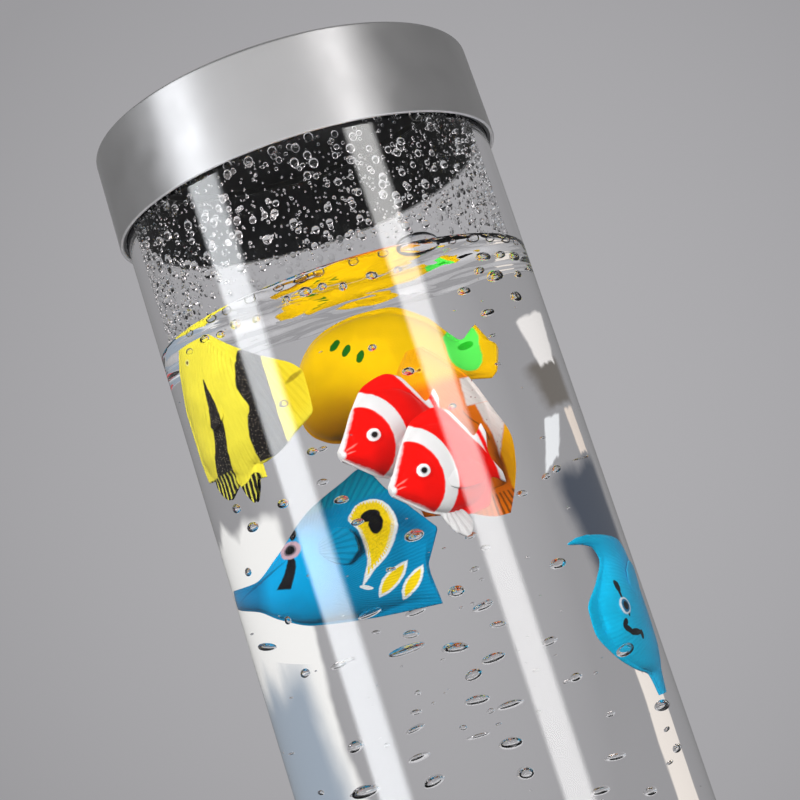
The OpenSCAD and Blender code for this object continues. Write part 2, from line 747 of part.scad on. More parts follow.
tall_form = [[0, 1.8, 1.4, -1.4, -1.8, 1.2], [5, 5.4, 4.8, -4.6, -5.2, 3.2],
  [11, 8.8, 8.2, -7.8, -8.6, 4.6], [20, 11.4, 10, -9.4, -10.6, 5.4], [29, 13.4, 9.6, -9, -12, 4.6],
  [35, 12.6, 7.4, -7, -11, 3.2], [41, 10.8, 5, -5, -9, 2], [47, 8.3, 7.6, -7.6, -8.3, 0.9]];
tang_form = [[0, 2.4, 2, -2, -2.4, 1.4], [7, 3.6, 3, -3.2, -3.6, 2.2],
  [12, 9, 8, -6, -6.5, 4], [19, 18.5, 15, -8.6, -9.2, 5.6], [27, 24.5, 16.5, -8.8, -9.6, 6],
  [31, 27, 16, -8.6, -9.6, 5.6], [36, 21, 13, -7.6, -9.4, 4.2], [41, 15.5, 10, -7, -9, 2.4],
  [46, 10, 8.8, -7.6, -8.6, 0.9]];
leaf_form = [[0, 1.5, 1.1, -1.1, -1.5, 1], [5.5, 2.8, 2.2, -2.2, -2.8, 1.8],
  [8, 7, 6, -3.6, -4.2, 3], [13, 13, 11, -5, -5.8, 4.2], [20, 17.4, 14.4, -5.6, -6.4, 5],
  [25, 17, 13.6, -5.6, -6.4, 4.8], [31, 10.5, 8.8, -5, -6, 4], [36, 6.6, 5.6, -4.4, -5.2, 2.6],
  [39, 7.8, 6.8, -3, -3.6, 1.6], [40.3, 11, 10.2, -0.6, -1.2, 1.3], [41.4, 16.4, 15.6, 3, 2.4, 1],
  [42.4, 12.6, 12, 9, 8.4, 0.8]];

// one section as a closed ring of points, right side down and left side up
function section(q) =
  let (f = min(fin_t / 2, q[5] * 0.5), mid = (q[2] + q[3]) / 2, half = (q[2] - q[3]) / 2,
    right = concat([[f, q[1]], [f, q[2]]],
      [for (a = [60:-30:-60]) [q[5] * cos(a), mid + half * sin(a)]],
      [[f, q[3]], [f, q[4]]]))
  concat([for (p = right) [-q[0], -p[0], p[1]]],
    [for (i = [len(right) - 1:-1:0]) [-q[0], right[i][0], right[i][1]]]);

module fish_body(form) {
  rows = smooth(form, 2);
  n = len(section(rows[0]));
  last = len(rows) - 1;
  walls = [for (i = [0:last - 1], k = [0:n - 1]) let (a = i * n + k, b = i * n + (k + 1) % n)
    each [[a, b, b + n], [a, b + n, a + n]]];
  nose = [0.4, 0, (form[0][1] + form[0][4]) / 2];
  tail = [-form[len(form) - 1][0], 0, (form[len(form) - 1][1] + form[len(form) - 1][4]) / 2];
  ends = [for (k = [0:n - 1]) each
    [[(k + 1) % n, k, n * (last + 1)], [last * n + k, last * n + (k + 1) % n, n * (last + 1) + 1]]];
  polyhedron(concat([for (q = rows) each section(q)], [nose, tail]), concat(walls, ends), convexity = 6);
}

// a fin cut from a flat sheet, its outline smoothed through the points of p
module flat_fin(p, t = fin_t) {
  rotate([90, 0, 0]) translate([0, 0, -t / 2]) linear_extrude(t) polygon(smooth_loop(p, 3));
}

// the same opening cut right through the fish
module notch(p) {
  rotate([90, 0, 0]) translate([0, 0, -10]) linear_extrude(20) polygon(p);
}

// fins on both cheeks: root place, spread and outline
module side_fins(root, spread, p) {
  for (side = [-1, 1]) translate([root[0], side * root[1], root[2]]) rotate([0, 0, -side * spread])
    flat_fin(p);
}

paddle = [[0, 2], [-4, 3.6], [-8, 2.8], [-9.5, -0.6], [-7.4, -3], [-3, -2.6]];

module band_fish() {
  difference() {
    fish_body(band_form);
    notch([[-27.6, 5.2], [-25.2, 0], [-27.6, -5.2]]);
  }
  side_fins([-12, 4.2, -3], 5, paddle);
  flat_fin([[-8.6, -6.5], [-10.6, -13.6], [-13.4, -16], [-15.4, -14.4], [-14.2, -7]]);
}

// the places below suit this bore; the outer fish move with the wall in another one
placed_bore_r = 47;
reach = bore_r - placed_bore_r;

module place(p, turn) { translate([p[0], p[1], cap_z + p[2]]) rotate(turn) children(); }

module fish_butterfly() {
  color([0.95, 0.85, 0.15]) place([-34.6 - reach * 0.6, -18.9 - reach * 0.8, -32.8], [0, -90, 142.6]) {
    difference() {
      fish_body(butterfly_form);
      notch([[-44, 5.6], [-38.4, 4.4], [-44, 3]]);
      notch([[-44, -0.6], [-38.4, -1.4], [-44, -2.4]]);
    }
    side_fins([-14, 3.8, 2], 12, paddle);
  }
}

module fish_yellow() {
  color([0.98, 0.75, 0.05]) place([-13, 24 + reach * 0.8, -47.5], [0, -11, 180]) {
    difference() {
      fish_body(round_form);
      notch([[-32.6, 9.6], [-34, 5.2], [-36.2, 3], [-38, 3], [-38, 9.6]]);
    }
    side_fins([-18, 6.2, -2], 10, paddle);
  }
}

module fish_red_upper() {
  color([0.85, 0.05, 0.05]) place([-11, -32, -73.3], [0, 5, -155]) band_fish();
}

module fish_red_lower() {
  color([0.85, 0.05, 0.05]) place([-3, -42 - reach * 0.9, -85.7], [0, 5, -155]) band_fish();
}

module fish_orange() {
  color([0.95, 0.4, 0.05]) place([10.35, -0.9, -50], [0, -90, 171]) {
    difference() {
      fish_body(tall_form);
      notch([[-47.4, 6.2], [-43.2, -1], [-41, -10], [-49, -10], [-49, 6.2]]);
    }
    side_fins([-17, 4.6, -1], 8, paddle);
  }
}

module fish_blue() {
  color([0.05, 0.5, 0.75]) place([-41, 2, -95.8], [0, -11.3, 162.7]) {
    difference() {
      fish_body(tang_form);
      notch([[-47, 11], [-44.6, 4], [-44.2, -2], [-47, -9]]);
    }
    side_fins([-22.4, 5.3, 8.6], 12, [[0, 2.4], [-4, 5], [-8, 4], [-9, -1], [-6, -4.4], [-2, -3]]);
  }
}

module fish_light_blue() {
  color([0.05, 0.65, 0.85]) place([38.2 + reach * 0.9, -7.6, -150.6], [0, 90, 239.4]) {
    fish_body(leaf_form);
    side_fins([-24, 3.8, -1], 12, paddle);
  }
}

tube();
tube_plug();
tube_seat();
base_housing();
base_plate();
rubber_feet();
base_screws();
collar_ring();
collar_seal();
collar_screws();
light_board();
light_chips();
light_screws();
air_nozzle();
nozzle_washer();
nozzle_nut();
bubble_disc();
air_hose_upper();
check_valve();
air_hose_lower();
pump_body();
pump_lid();
pump_pillars();
pump_screws();
control_board();
board_parts();
board_screws();
power_inlet();
inlet_pin();
inlet_nut();
switch_case();
switch_rocker();
button_sleeve();
mode_button();
button_switch();
power_lead();
switch_lead();
pump_lead();
light_lead();
button_lead();
cap_shell();
cap_liner();
cap_gasket();
fish_butterfly();
fish_yellow();
fish_red_upper();
fish_red_lower();
fish_orange();
fish_blue();
fish_light_blue();
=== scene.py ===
import bpy
import json
import math
import random
from mathutils import Matrix, Vector


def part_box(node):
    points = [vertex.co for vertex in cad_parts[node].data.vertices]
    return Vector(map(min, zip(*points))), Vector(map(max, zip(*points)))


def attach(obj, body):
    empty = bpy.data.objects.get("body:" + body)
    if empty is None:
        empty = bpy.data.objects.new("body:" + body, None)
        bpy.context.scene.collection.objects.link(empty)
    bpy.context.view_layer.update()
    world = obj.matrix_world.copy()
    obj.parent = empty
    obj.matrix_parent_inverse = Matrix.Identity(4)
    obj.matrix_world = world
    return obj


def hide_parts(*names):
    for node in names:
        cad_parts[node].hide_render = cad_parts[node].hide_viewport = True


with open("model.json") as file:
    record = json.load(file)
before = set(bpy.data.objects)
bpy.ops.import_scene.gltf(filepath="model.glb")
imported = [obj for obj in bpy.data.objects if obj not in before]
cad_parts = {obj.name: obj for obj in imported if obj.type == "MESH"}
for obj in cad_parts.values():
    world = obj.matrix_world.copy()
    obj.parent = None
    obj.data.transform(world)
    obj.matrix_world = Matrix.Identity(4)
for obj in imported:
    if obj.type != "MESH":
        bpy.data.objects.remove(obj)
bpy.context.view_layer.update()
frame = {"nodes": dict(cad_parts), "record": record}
nodes = frame["nodes"]
scene = bpy.context.scene
scene.view_settings.view_transform = "Standard"
mm = 0.001
print("frame loaded,", len(nodes), "nodes")


# small helpers: colours, shader nodes, meshes

def tone(red, green, blue):
    # a screen colour, 0 to 255 each, as the linear value that shaders take
    def linear(value):
        value /= 255
        return value / 12.92 if value <= 0.04045 else ((value + 0.055) / 1.055) ** 2.4
    return linear(red), linear(green), linear(blue), 1


def startMaterial(name):
    material = bpy.data.materials.new(name)
    material.use_nodes = True
    tree = material.node_tree
    return material, tree, tree.nodes["Principled BSDF"]


def addNode(tree, kind, inputs=None, **settings):
    # a node with its settings, and its inputs by name or number, each a value or another node's
    # output
    node = tree.nodes.new("ShaderNode" + kind)
    for key, value in settings.items():
        setattr(node, key, value)
    for key, value in (inputs or {}).items():
        if isinstance(value, bpy.types.NodeSocket):
            tree.links.new(value, node.inputs[key])
        else:
            node.inputs[key].default_value = value
    return node


def objectNoise(tree, scale, detail=3, stretch=(1, 1, 1)):
    place = addNode(tree, "TexCoord").outputs["Object"]
    place = addNode(tree, "Mapping", {"Vector": place, "Scale": stretch}).outputs[0]
    return addNode(tree, "TexNoise", {"Vector": place, "Scale": scale,
        "Detail": detail}).outputs["Fac"]


def spread(tree, value, low, high, start=0.3, end=0.7, kind="LINEAR"):
    # stretches a value between two limits onto another range
    inputs = {0: value, 1: start, 2: end, 3: low, 4: high}
    return addNode(tree, "MapRange", inputs, interpolation_type=kind).outputs[0]


def mixColour(tree, share, first, second):
    return addNode(tree, "Mix", {0: share, 6: first, 7: second}, data_type="RGBA").outputs[2]


def calculate(tree, operation, first, second=0.0, third=0.0):
    return addNode(tree, "Math", {0: first, 1: second, 2: third}, operation=operation).outputs[0]


def showSurface(tree, node):
    tree.links.new(node.outputs[0], tree.nodes["Material Output"].inputs["Surface"])


def bump(tree, shader, height, strength, distance):
    node = addNode(tree, "Bump", {"Height": height, "Strength": strength, "Distance": distance})
    tree.links.new(node.outputs[0], shader.inputs["Normal"])


def deselectAll():
    if bpy.context.mode != "OBJECT":
        bpy.ops.object.mode_set(mode="OBJECT")
    bpy.ops.object.select_all(action="DESELECT")


def named(name):
    # the piece that an operator has just made
    piece = bpy.context.object
    piece.name = piece.data.name = name
    return piece


def pick(piece, *others):
    deselectAll()
    for one in (*others, piece):
        one.select_set(True)
    bpy.context.view_layer.objects.active = piece


def settle(piece):
    # the place, turn and size go into the mesh
    pick(piece)
    bpy.ops.object.transform_apply(location=True, rotation=True, scale=True)


def joined(piece, others):
    if others:
        pick(piece, *others)
        bpy.ops.object.join()
    return piece


def turned(name, profile, segments, closed=False):
    # a turned shape: a circle pulled through the radii and heights of its profile
    deselectAll()
    radius, height = profile[0]
    bpy.ops.mesh.primitive_circle_add(vertices=segments, radius=radius, location=(0, 0, height))
    piece = named(name)
    bpy.ops.object.mode_set(mode="EDIT")
    bpy.ops.mesh.select_all(action="SELECT")
    for nextRadius, nextHeight in profile[1:]:
        bpy.ops.mesh.extrude_edges_move(TRANSFORM_OT_translate={"value": (0, 0,
            nextHeight - height)})
        factor = nextRadius / radius
        bpy.ops.transform.resize(value=(factor, factor, 1), center_override=(0, 0, nextHeight))
        radius, height = nextRadius, nextHeight
    bpy.ops.mesh.select_all(action="SELECT")
    bpy.ops.mesh.remove_doubles(threshold=1e-6)
    if not closed:
        bpy.ops.mesh.select_all(action="DESELECT")
        bpy.ops.mesh.select_non_manifold()
        bpy.ops.mesh.edge_face_add()
    bpy.ops.mesh.select_all(action="SELECT")
    bpy.ops.mesh.normals_make_consistent(inside=False)
    bpy.ops.object.mode_set(mode="OBJECT")
    settle(piece)
    return piece


def faceAlike(inside=False):
    # every face of the active piece looks outwards, or inwards for a hollow
    bpy.ops.object.mode_set(mode="EDIT")
    bpy.ops.mesh.select_all(action="SELECT")
    bpy.ops.mesh.normals_make_consistent(inside=inside)
    bpy.ops.object.mode_set(mode="OBJECT")


def smooth(piece, degrees=35):
    pick(piece)
    bpy.ops.object.shade_smooth_by_angle(angle=math.radians(degrees))


# camera, at the photograph's place and tilt

cameraSetup = {
    "place": (0, -0.3864, 0.9074),   # metres, from the middle of the base
    "yaw": 0.9259,                   # degrees
    "pitch": 8.6559,
    "roll": -18.0909,
    "lens": 67.07,                   # mm, on a 36 mm wide sensor
}


def makeCamera(setup):
    yaw, pitch, roll = (math.radians(setup[key]) for key in ("yaw", "pitch", "roll"))
    ahead = Vector((math.sin(yaw) * math.cos(pitch), math.cos(yaw) * math.cos(pitch),
        math.sin(pitch)))
    level = Vector((math.cos(yaw), -math.sin(yaw), 0))
    above = level.cross(ahead)
    right = level * math.cos(roll) + above * math.sin(roll)
    up = above * math.cos(roll) - level * math.sin(roll)
    camera = bpy.data.objects.new("camera", bpy.data.cameras.new("camera"))
    scene.collection.objects.link(camera)
    camera.matrix_world = Matrix.Translation(setup["place"]) @ Matrix((right, up,
        -ahead)).transposed().to_4x4()
    camera.data.lens = setup["lens"]
    camera.data.sensor_width = 36
    camera.data.clip_start = 0.01
    scene.camera = camera


makeCamera(cameraSetup)


# studio: floor, backdrop tone, lamps and reflecting cards

studio = {
    "backdrop": (174, 173, 176),     # plain grey behind the lamp, as on a screen
    "floor": (196, 195, 198),
    "fillStrength": 0.75,            # even light from all sides
    "mirrored": 0.18,                # the room as the glossy surfaces see it
    "brightest": (0.05, 0.986, 0.12),     # direction of the backdrop's brightest spot
    "cardDistance": 3.0,             # metres from the tube
    "cardCentre": 0.92,              # height that the cards are set out from
    "lampAim": 0.93,                 # height that the lamps face
    "floorRadius": 3.0,
}


def makeWorld():
    world = bpy.data.worlds.new("studio")
    scene.world = world
    world.use_nodes = True
    tree = world.node_tree
    surface = tree.nodes["Background"]
    path = addNode(tree, "LightPath")
    seen = calculate(tree, "MAXIMUM", path.outputs["Is Camera Ray"],
        path.outputs["Is Transmission Ray"])
    # brightest behind the tube, a little darker away from it
    direction = addNode(tree, "TexCoord").outputs["Generated"]
    across = addNode(tree, "VectorMath", {0: direction, 1: studio["brightest"]},
        operation="DOT_PRODUCT")
    fall = spread(tree, across.outputs["Value"], 0.78, 1.0, 0.92, 0.99)
    backdrop = tone(*studio["backdrop"])
    shown = addNode(tree, "VectorMath", {0: backdrop[:3], "Scale": fall},
        operation="SCALE").outputs[0]
    fill = studio["fillStrength"]
    colour = mixColour(tree, seen, (fill, fill, fill, 1), shown)
    room = studio["mirrored"]
    mirrored = calculate(tree, "SUBTRACT", path.outputs["Is Glossy Ray"],
        path.outputs["Is Transmission Ray"])
    mirrored = calculate(tree, "MAXIMUM", mirrored, 0.0)
    colour = mixColour(tree, mirrored, colour, (room, room, room, 1))
    tree.links.new(colour, surface.inputs["Color"])


def around(azimuth, elevation, distance, centre):
    # a point seen from the tube; azimuth 0 is straight behind it, 90 to its right
    a, e = math.radians(azimuth), math.radians(elevation)
    return centre + distance * Vector((math.sin(a) * math.cos(e), math.cos(a) * math.cos(e),
        math.sin(e)))


def addCard(name, corners, strength, colour, soft, closer=0.0):
    # a bright or dark card behind the lamp, seen only through the clear tube, with soft uneven
    # edges;
    # its corners are azimuth and elevation
    centre = Vector((0, 0, studio["cardCentre"]))
    deselectAll()
    bpy.ops.mesh.primitive_plane_add(size=1)
    card = named(name)
    for index, (azimuth, elevation) in zip((0, 1, 3, 2), corners):
        card.data.vertices[index].co = around(azimuth, elevation, studio["cardDistance"] - closer,
            centre)
    material, tree, shader = startMaterial(name)
    place = addNode(tree, "TexCoord").outputs["UV"]
    drift = addNode(tree, "TexNoise", {"Vector": place, "Scale": 4, "Detail": 3}).outputs["Color"]
    place = addNode(tree, "VectorMath", {0: drift, 1: (0.14, 0.14, 0), 2: place},
        operation="MULTIPLY_ADD").outputs[0]
    place = addNode(tree, "VectorMath", {0: place, 1: (0.07, 0.07, 0)},
        operation="SUBTRACT").outputs[0]
    sides = addNode(tree, "SeparateXYZ", {0: place}).outputs
    inward = [calculate(tree, "PINGPONG", sides[axis], 0.5) for axis in ("X", "Y")]
    masks = [spread(tree, value, 0.0, 1.0, 0.05, 0.05 + width, "SMOOTHSTEP") for value,
        width in zip(inward, soft)]
    glow = addNode(tree, "Emission", {"Color": tone(*colour), "Strength": strength})
    passing = addNode(tree, "BsdfTransparent")
    share = calculate(tree, "MULTIPLY", masks[0], masks[1])
    mixed = addNode(tree, "MixShader", {0: share, 1: passing.outputs[0], 2: glow.outputs[0]})
    showSurface(tree, mixed)
    card.data.materials.append(material)
    for kind in ("camera", "diffuse", "glossy", "shadow", "volume_scatter"):
        setattr(card, "visible_" + kind, False)


def addLamp(name, azimuth, height, distance, size, power, seen=True, only=None):
    # an area lamp that faces the tube; azimuth as for the cards
    light = bpy.data.lights.new(name, "AREA")
    light.shape = "RECTANGLE"
    light.size, light.size_y = size
    light.energy = power
    lamp = bpy.data.objects.new(name, light)
    scene.collection.objects.link(lamp)
    a = math.radians(azimuth)
    place = Vector((math.sin(a) * distance, math.cos(a) * distance, height))
    aim = Vector((0, 0, studio["lampAim"])) - place
    lamp.matrix_world = Matrix.Translation(place) @ aim.to_track_quat("-Z",
        "Y").to_matrix().to_4x4()
    lamp.visible_camera = False
    lamp.visible_transmission = False
    if not seen:
        lamp.visible_glossy = False
    if only:
        lamp.visible_diffuse = False
        lamp.light_linking.receiver_collection = only
    return lamp


def makeFloor():
    deselectAll()
    bpy.ops.mesh.primitive_circle_add(vertices=96, radius=studio["floorRadius"], fill_type="NGON")
    floor = named("floor")
    material, tree, shader = startMaterial("floorPaint")
    grain = objectNoise(tree, 3)
    pale = tone(*studio["floor"])
    dull = tuple(0.96 * value for value in pale[:3]) + (1,)
    tree.links.new(mixColour(tree, grain, dull, pale), shader.inputs["Base Color"])
    shader.inputs["Roughness"].default_value = 0.7
    floor.data.materials.append(material)


makeWorld()
makeFloor()
# name, corners, strength, colour, softness across and up, how much closer
for name, corners, strength, colour, soft, closer in (
        ("cardRight", ((14, -14), (80, -14), (80, 7), (14, 7)), 0.97, (253, 252, 250), (0.03, 0.03),
         0),
        ("cardGhost", ((11, -22), (78, -22), (78, 2), (17, 2)), 1.0, (158, 170, 184), (0.12, 0.1),
         0.1),
        ("cardLeftLow", ((-39, -15), (-26, -15), (-26, -3.6), (-39, -3.6)), 0.9, (255, 246, 238),
         (0.06, 0.03), 0),
        ("cardWedge", ((-25, 7), (-34.5, 7), (-26.5, 5), (-18.5, 4.2)), 0.9, (250, 252, 255),
         (0.12, 0.08), 0.2),
        ("cardWarm", ((-36, 7.2), (-46, 7.2), (-46.5, 4.7), (-37, 4.7)), 0.85, (255, 240, 228),
         (0.12, 0.08), 0.2),
        ("cardLeftTop", ((-25.5, 11.4), (-51, 11.4), (-45, 8.8), (-30.5, 8.8)), 0.9,
         (254, 250, 248), (0.1, 0.08), 0.2),
        ("cardBrown", ((-20, 9.3), (-52, 9.3), (-52, 6.7), (-25, 6.7)), 1.0, (112, 107, 102),
         (0.24, 0.14), 0.1),
        ("cardDark", ((-17, 5), (-54, 5.4), (-54, -4), (-24, -3)), 1.0, (74, 80, 92), (0.2, 0.1),
         0),
        ("cardFrontLeft", ((200, 14), (242, 14), (242, 50), (200, 50)), 6.0, (255, 246, 246),
         (0.05, 0.05), 0),
        ("cardFrontRight", ((122, 18), (150, 18), (150, 46), (122, 46)), 6.0, (255, 250, 252),
         (0.05, 0.05), 0)):
    addCard(name, corners, strength, colour, soft, closer)
print("camera and studio made")


# clear tube, water and its bubbles

def clearMaterial(name, ior, tint=(1, 1, 1, 1), quiet=None):
    # a clear body; its quiet faces only refract, unless all the light turns back there
    material, tree, shader = startMaterial(name)
    smear = objectNoise(tree, 30, 2)
    faint = tuple(0.985 * value for value in tint[:3]) + (1,)
    colour = mixColour(tree, smear, faint, tint)
    tree.links.new(colour, shader.inputs["Base Color"])
    shader.inputs["Roughness"].default_value = 0
    shader.inputs["Transmission Weight"].default_value = 1
    shader.inputs["IOR"].default_value = ior
    if quiet:
        share = calculate(tree, "LESS_THAN", addNode(tree, "Fresnel", {"IOR": ior}).outputs[0], 0.9)
        if quiet == "inside":
            share = calculate(tree, "MULTIPLY", share,
                addNode(tree, "NewGeometry").outputs["Backfacing"])
        passing = addNode(tree, "BsdfRefraction", {"Color": colour, "Roughness": 0.0, "IOR": ior})
        mixed = addNode(tree, "MixShader", {0: share, 1: shader.outputs[0], 2: passing.outputs[0]})
        showSurface(tree, mixed)
    return material


water = {
    "level": 0.9942,         # height of the surface
    "sideGap": 0.0001,       # between the water and the wall, too thin to see
    "climb": 0.0005,         # how far it climbs the wall
    "ripple": 0.0005,
    "chop": 0.0001,          # shorter waves on it
}
acrylicIndex = 1.49
waterIndex = 1.33

tubeLow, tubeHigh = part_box("tube")
outerRadius = tubeHigh.x
boreRadius = outerRadius - 0.003    # the wall is 3 mm thick
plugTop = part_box("tube_plug")[1].z


def makeTube():
    edge = 0.0005
    low, high = tubeLow.z, tubeHigh.z
    profile = [(outerRadius, low + edge), (outerRadius, high - edge), (outerRadius - edge, high),
        (boreRadius + edge, high), (boreRadius, high - edge),
        (boreRadius, water["level"] + water["climb"]), (boreRadius, low + edge),
        (boreRadius + edge, low), (outerRadius - edge, low), (outerRadius, low + edge)]
    tube = turned("clearTube", profile, 256, closed=True)
    smooth(tube)
    tube.data.materials.append(clearMaterial("clearAcrylic", acrylicIndex, quiet="inside"))
    tube.data.materials.append(clearMaterial("clearAcrylicWet", acrylicIndex / waterIndex,
        quiet="all"))
    tube.data.materials.append(clearMaterial("clearAcrylicDry", acrylicIndex, quiet="all"))
    for face in tube.data.polygons:
        middle = face.center
        if math.hypot(middle.x, middle.y) < boreRadius + edge / 4:
            face.material_index = 1 if middle.z < water["level"] else 2
    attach(tube, "lamp")
    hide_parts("tube")
    tube.visible_shadow = False
    return tube


def swell(group, point):
    return sum(math.sin(pitch * (point.x * math.cos(turn) + point.y * math.sin(turn)) + start)
        for pitch, turn, start in group)


def makeWater():
    side = boreRadius - water["sideGap"]
    level = water["level"]
    profile = [(side, plugTop)]
    profile += [(side, level + water["climb"])]
    steps = [0.4, 0.9, 1.5, 2.2, 3, 4, 5.2, 6.5, 8, 9.5, 11, 13, 15, 17, 19, 21, 23, 25, 27.5, 30,
        33, 36, 39, 42, 44.5]
    for inward in (step * mm for step in steps):
        climb = water["climb"] * math.exp(-inward / 0.001)
        profile.append((side - inward, level + climb))
    body = turned("water", profile, 160)
    rng = random.Random(5)
    waves = [(rng.uniform(60, 330), rng.uniform(0, math.tau),
        rng.uniform(0, math.tau)) for _ in range(9)]
    chops = [(rng.uniform(400, 1100), rng.uniform(0, math.tau),
        rng.uniform(0, math.tau)) for _ in range(9)]
    for vertex in body.data.vertices:
        point = vertex.co
        reach = math.hypot(point.x, point.y)
        if point.z > level - 0.001 and reach < side - 0.0002:
            lift, chop = swell(waves, point), swell(chops, point)
            point.z += water["ripple"] * lift / 2 * min(1, (side - reach) / 0.006)
            point.z += water["chop"] * chop / 2 * min(1, (side - reach) / 0.002)
    smooth(body, 60)
    clear, tree, shader = startMaterial("waterSide")
    passing = addNode(tree, "BsdfTransparent")
    showSurface(tree, passing)
    body.data.materials.append(clearMaterial("clearWater", waterIndex))
    body.data.materials.append(clear)
    for face in body.data.polygons:
        if face.center.z < level - 0.001 or abs(face.normal.z) < 0.05:
            face.material_index = 1
    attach(body, "lamp")
    body.visible_shadow = False
    return body


tube = makeTube()
waterBody = makeWater()
print("tube and water made")


# air bubbles in the water, and drops on the dry wall

bubbles = {
    # the larger ones: place in mm, height below the cap's rim, then width and height
    "large": [
        (-35, -25, -82, 3.4, 2.7), (-27, -36, -80, 3.8, 2.4), (-37, -20, -76, 3.0, 2.6),
        (-37, -10, -91, 3.1, 2.4),
        (-34, -30, -106, 2.4, 2.2), (-39, -12, -110, 6.6, 2.2), (-33, -25, -119, 2.7, 2.4),
        (-14, -10, -110, 5.6, 2.4),
        (-5, 5, -113, 4.5, 2.2), (-1, -43, -97, 5.2, 2.9), (4, -38, -112, 6.1, 3.0),
        (8, -20, -117, 5.9, 2.4),
        (-8, -30, -118, 3.6, 2.2), (-10, -36, -121, 8.6, 2.2), (0, -40, -124, 9.0, 3.1),
        (7, -34, -129, 5.6, 2.6),
        (2, -41, -131, 4.6, 2.8), (1, -30, -137, 5.8, 2.6), (7, -15, -141, 6.5, 2.2),
        (-13, -25, -139, 6.6, 1.9),
        (5, -40, -148, 6.2, 3.1), (-1, 10, -147, 5.4, 1.5), (-13, 0, -147, 6.8, 2.0),
        (6, -42, -155, 6.2, 3.3),
        (-13, -35, -151, 6.6, 3.0), (-28, -30, -149, 7.0, 3.4), (19, -20, -166, 6.0, 2.4),
        (28, -10, -171, 4.8, 2.6),
        (22, 5, -162, 4.6, 2.2), (27, -30, -113, 4.6, 2.8), (21, -10, -140, 3.6, 2.4),
        (18, -5, -130, 3.6, 2.2),
        (38, -12, -153, 4.8, 3.0), (37, -8, -164, 2.8, 2.3), (36, -26, -137, 5.6, 3.2),
        (10, -15, -100, 3.3, 1.6),
        (10, -28, -122, 4.0, 1.8), (-26, -20, -139, 5.0, 3.3), (33, -20, -91, 2.5, 2.0),
        (23, -15, -94, 2.5, 1.8),
        (3, -40, -52, 2.2, 1.8), (9, -40, -60, 3.4, 2.2), (16, -40, -71, 2.4, 1.8),
        (-17, -41, -71, 2.6, 2.0),
        (-14, -42, -84, 4.0, 2.2), (-12, -42, -90, 3.2, 1.8), (-20, -40, -58, 2.4, 2.0),
        (30, -26, -50, 4.6, 2.0),
        # floating right under the surface
        (34, -28, -36.5, 4.4, 2.4), (38, -22, -36, 3.6, 2.2),
        (41, -15, -36, 4.2, 2.6), (35, -25, -41.5, 6.0, 3.4), (32, -30, -40, 3.2, 2.0),
        (40.5, -17, -41, 3.4, 2.0),
        (27, -34, -44.5, 3.8, 2.2), (-7.5, -43, -34.8, 3.6, 2.6), (-3.5, -43.6, -35, 2.6, 2.0),
        (1, -43.5, -36.5, 3.0, 2.2), (-12, -42.4, -35, 2.6, 2.0), (-33, -29, -35, 3.2, 2.4),
        (-29, -33, -36, 2.8, 2.0), (-25, -36, -35.4, 3.4, 2.6), (-37, -22, -35.2, 2.4, 1.8),
        (-20, -39, -36.4, 2.8, 2.0),
        (8, -43, -36, 3.2, 2.2), (14, -41.5, -36.2, 2.4, 1.8), (43, -6, -38, 3.0, 2.0),
        (38, -20, -47, 4.8, 3.0)],
    "small": 230,                # further ones, spread by chance
    "widths": (0.5, 2.8),        # mm
    "depths": (-36, -300),       # mm below the cap's rim
    "sparse": 160,               # more of them, down the rest of the tube
    "smallness": 2.2,
    "reach": 44.5,               # mm from the tube's axis
    "overFoot": 20,              # mm kept free above the plug
}
# on the surface: place in mm, height below the cap's rim, then width and height
foam = [(20.5, -38, -31.0, 12.0, 6.6), (-7.5, -43, -31.4, 3.8, 2.8), (-3.2, -43.6, -31.6, 2.6, 2.2),
    (-13, -41.5, -31.4, 2.8, 2.2), (-30, -32, -31.2, 3.2, 2.6), (-26, -35.5, -31.5, 2.6, 2.2),
    (-36, -25, -31.4, 2.6, 2.0), (33, -29.5, -31.4, 4.2, 3.0), (37, -24, -31.6, 3.2, 2.4),
    (40.5, -17.5, -31.5, 3.8, 2.6), (5, -43.4, -31.6, 2.4, 2.0), (-20, -39, -31.5, 3.0, 2.2),
    (42.5, -11, -31.5, 2.8, 2.0), (12, -41.8, -31.5, 2.6, 2.0), (28, -34, -31.7, 2.6, 2.0)]
drops = {
    "count": 3000,               # on half of the wall
    "widths": (0.45, 2.4),       # mm
    "smallness": 5,
    "bottom": -29,               # mm below the cap's rim
    "top": 19,
    "tall": 0.85,                # of the width
    "gap": 0.00002,              # metres between the wall and a drop's flat side, at the least
    "cut": 0.04,                 # a drop's ball is cut this far past its middle, in its own widths
}


def chanceWidth(setup, rng):
    # many small ones and few wide ones
    least, most = setup["widths"]
    return least + (most - least) * rng.random() ** setup["smallness"]


def bubbleBody(name, segments, rings):
    # one bubble, a sphere pressed a little flatter on its lower side as it rises
    deselectAll()
    bpy.ops.mesh.primitive_uv_sphere_add(segments=segments, ring_count=rings, radius=0.5)
    piece = named(name)
    for vertex in piece.data.vertices:
        if vertex.co.z < 0:
            vertex.co.z *= 0.8
    return piece


def copied(master, place, size, turn=(0, 0, 0)):
    copy = master.copy()
    copy.data = master.data.copy()
    scene.collection.objects.link(copy)
    copy.location, copy.scale, copy.rotation_euler = place, size, turn
    return copy


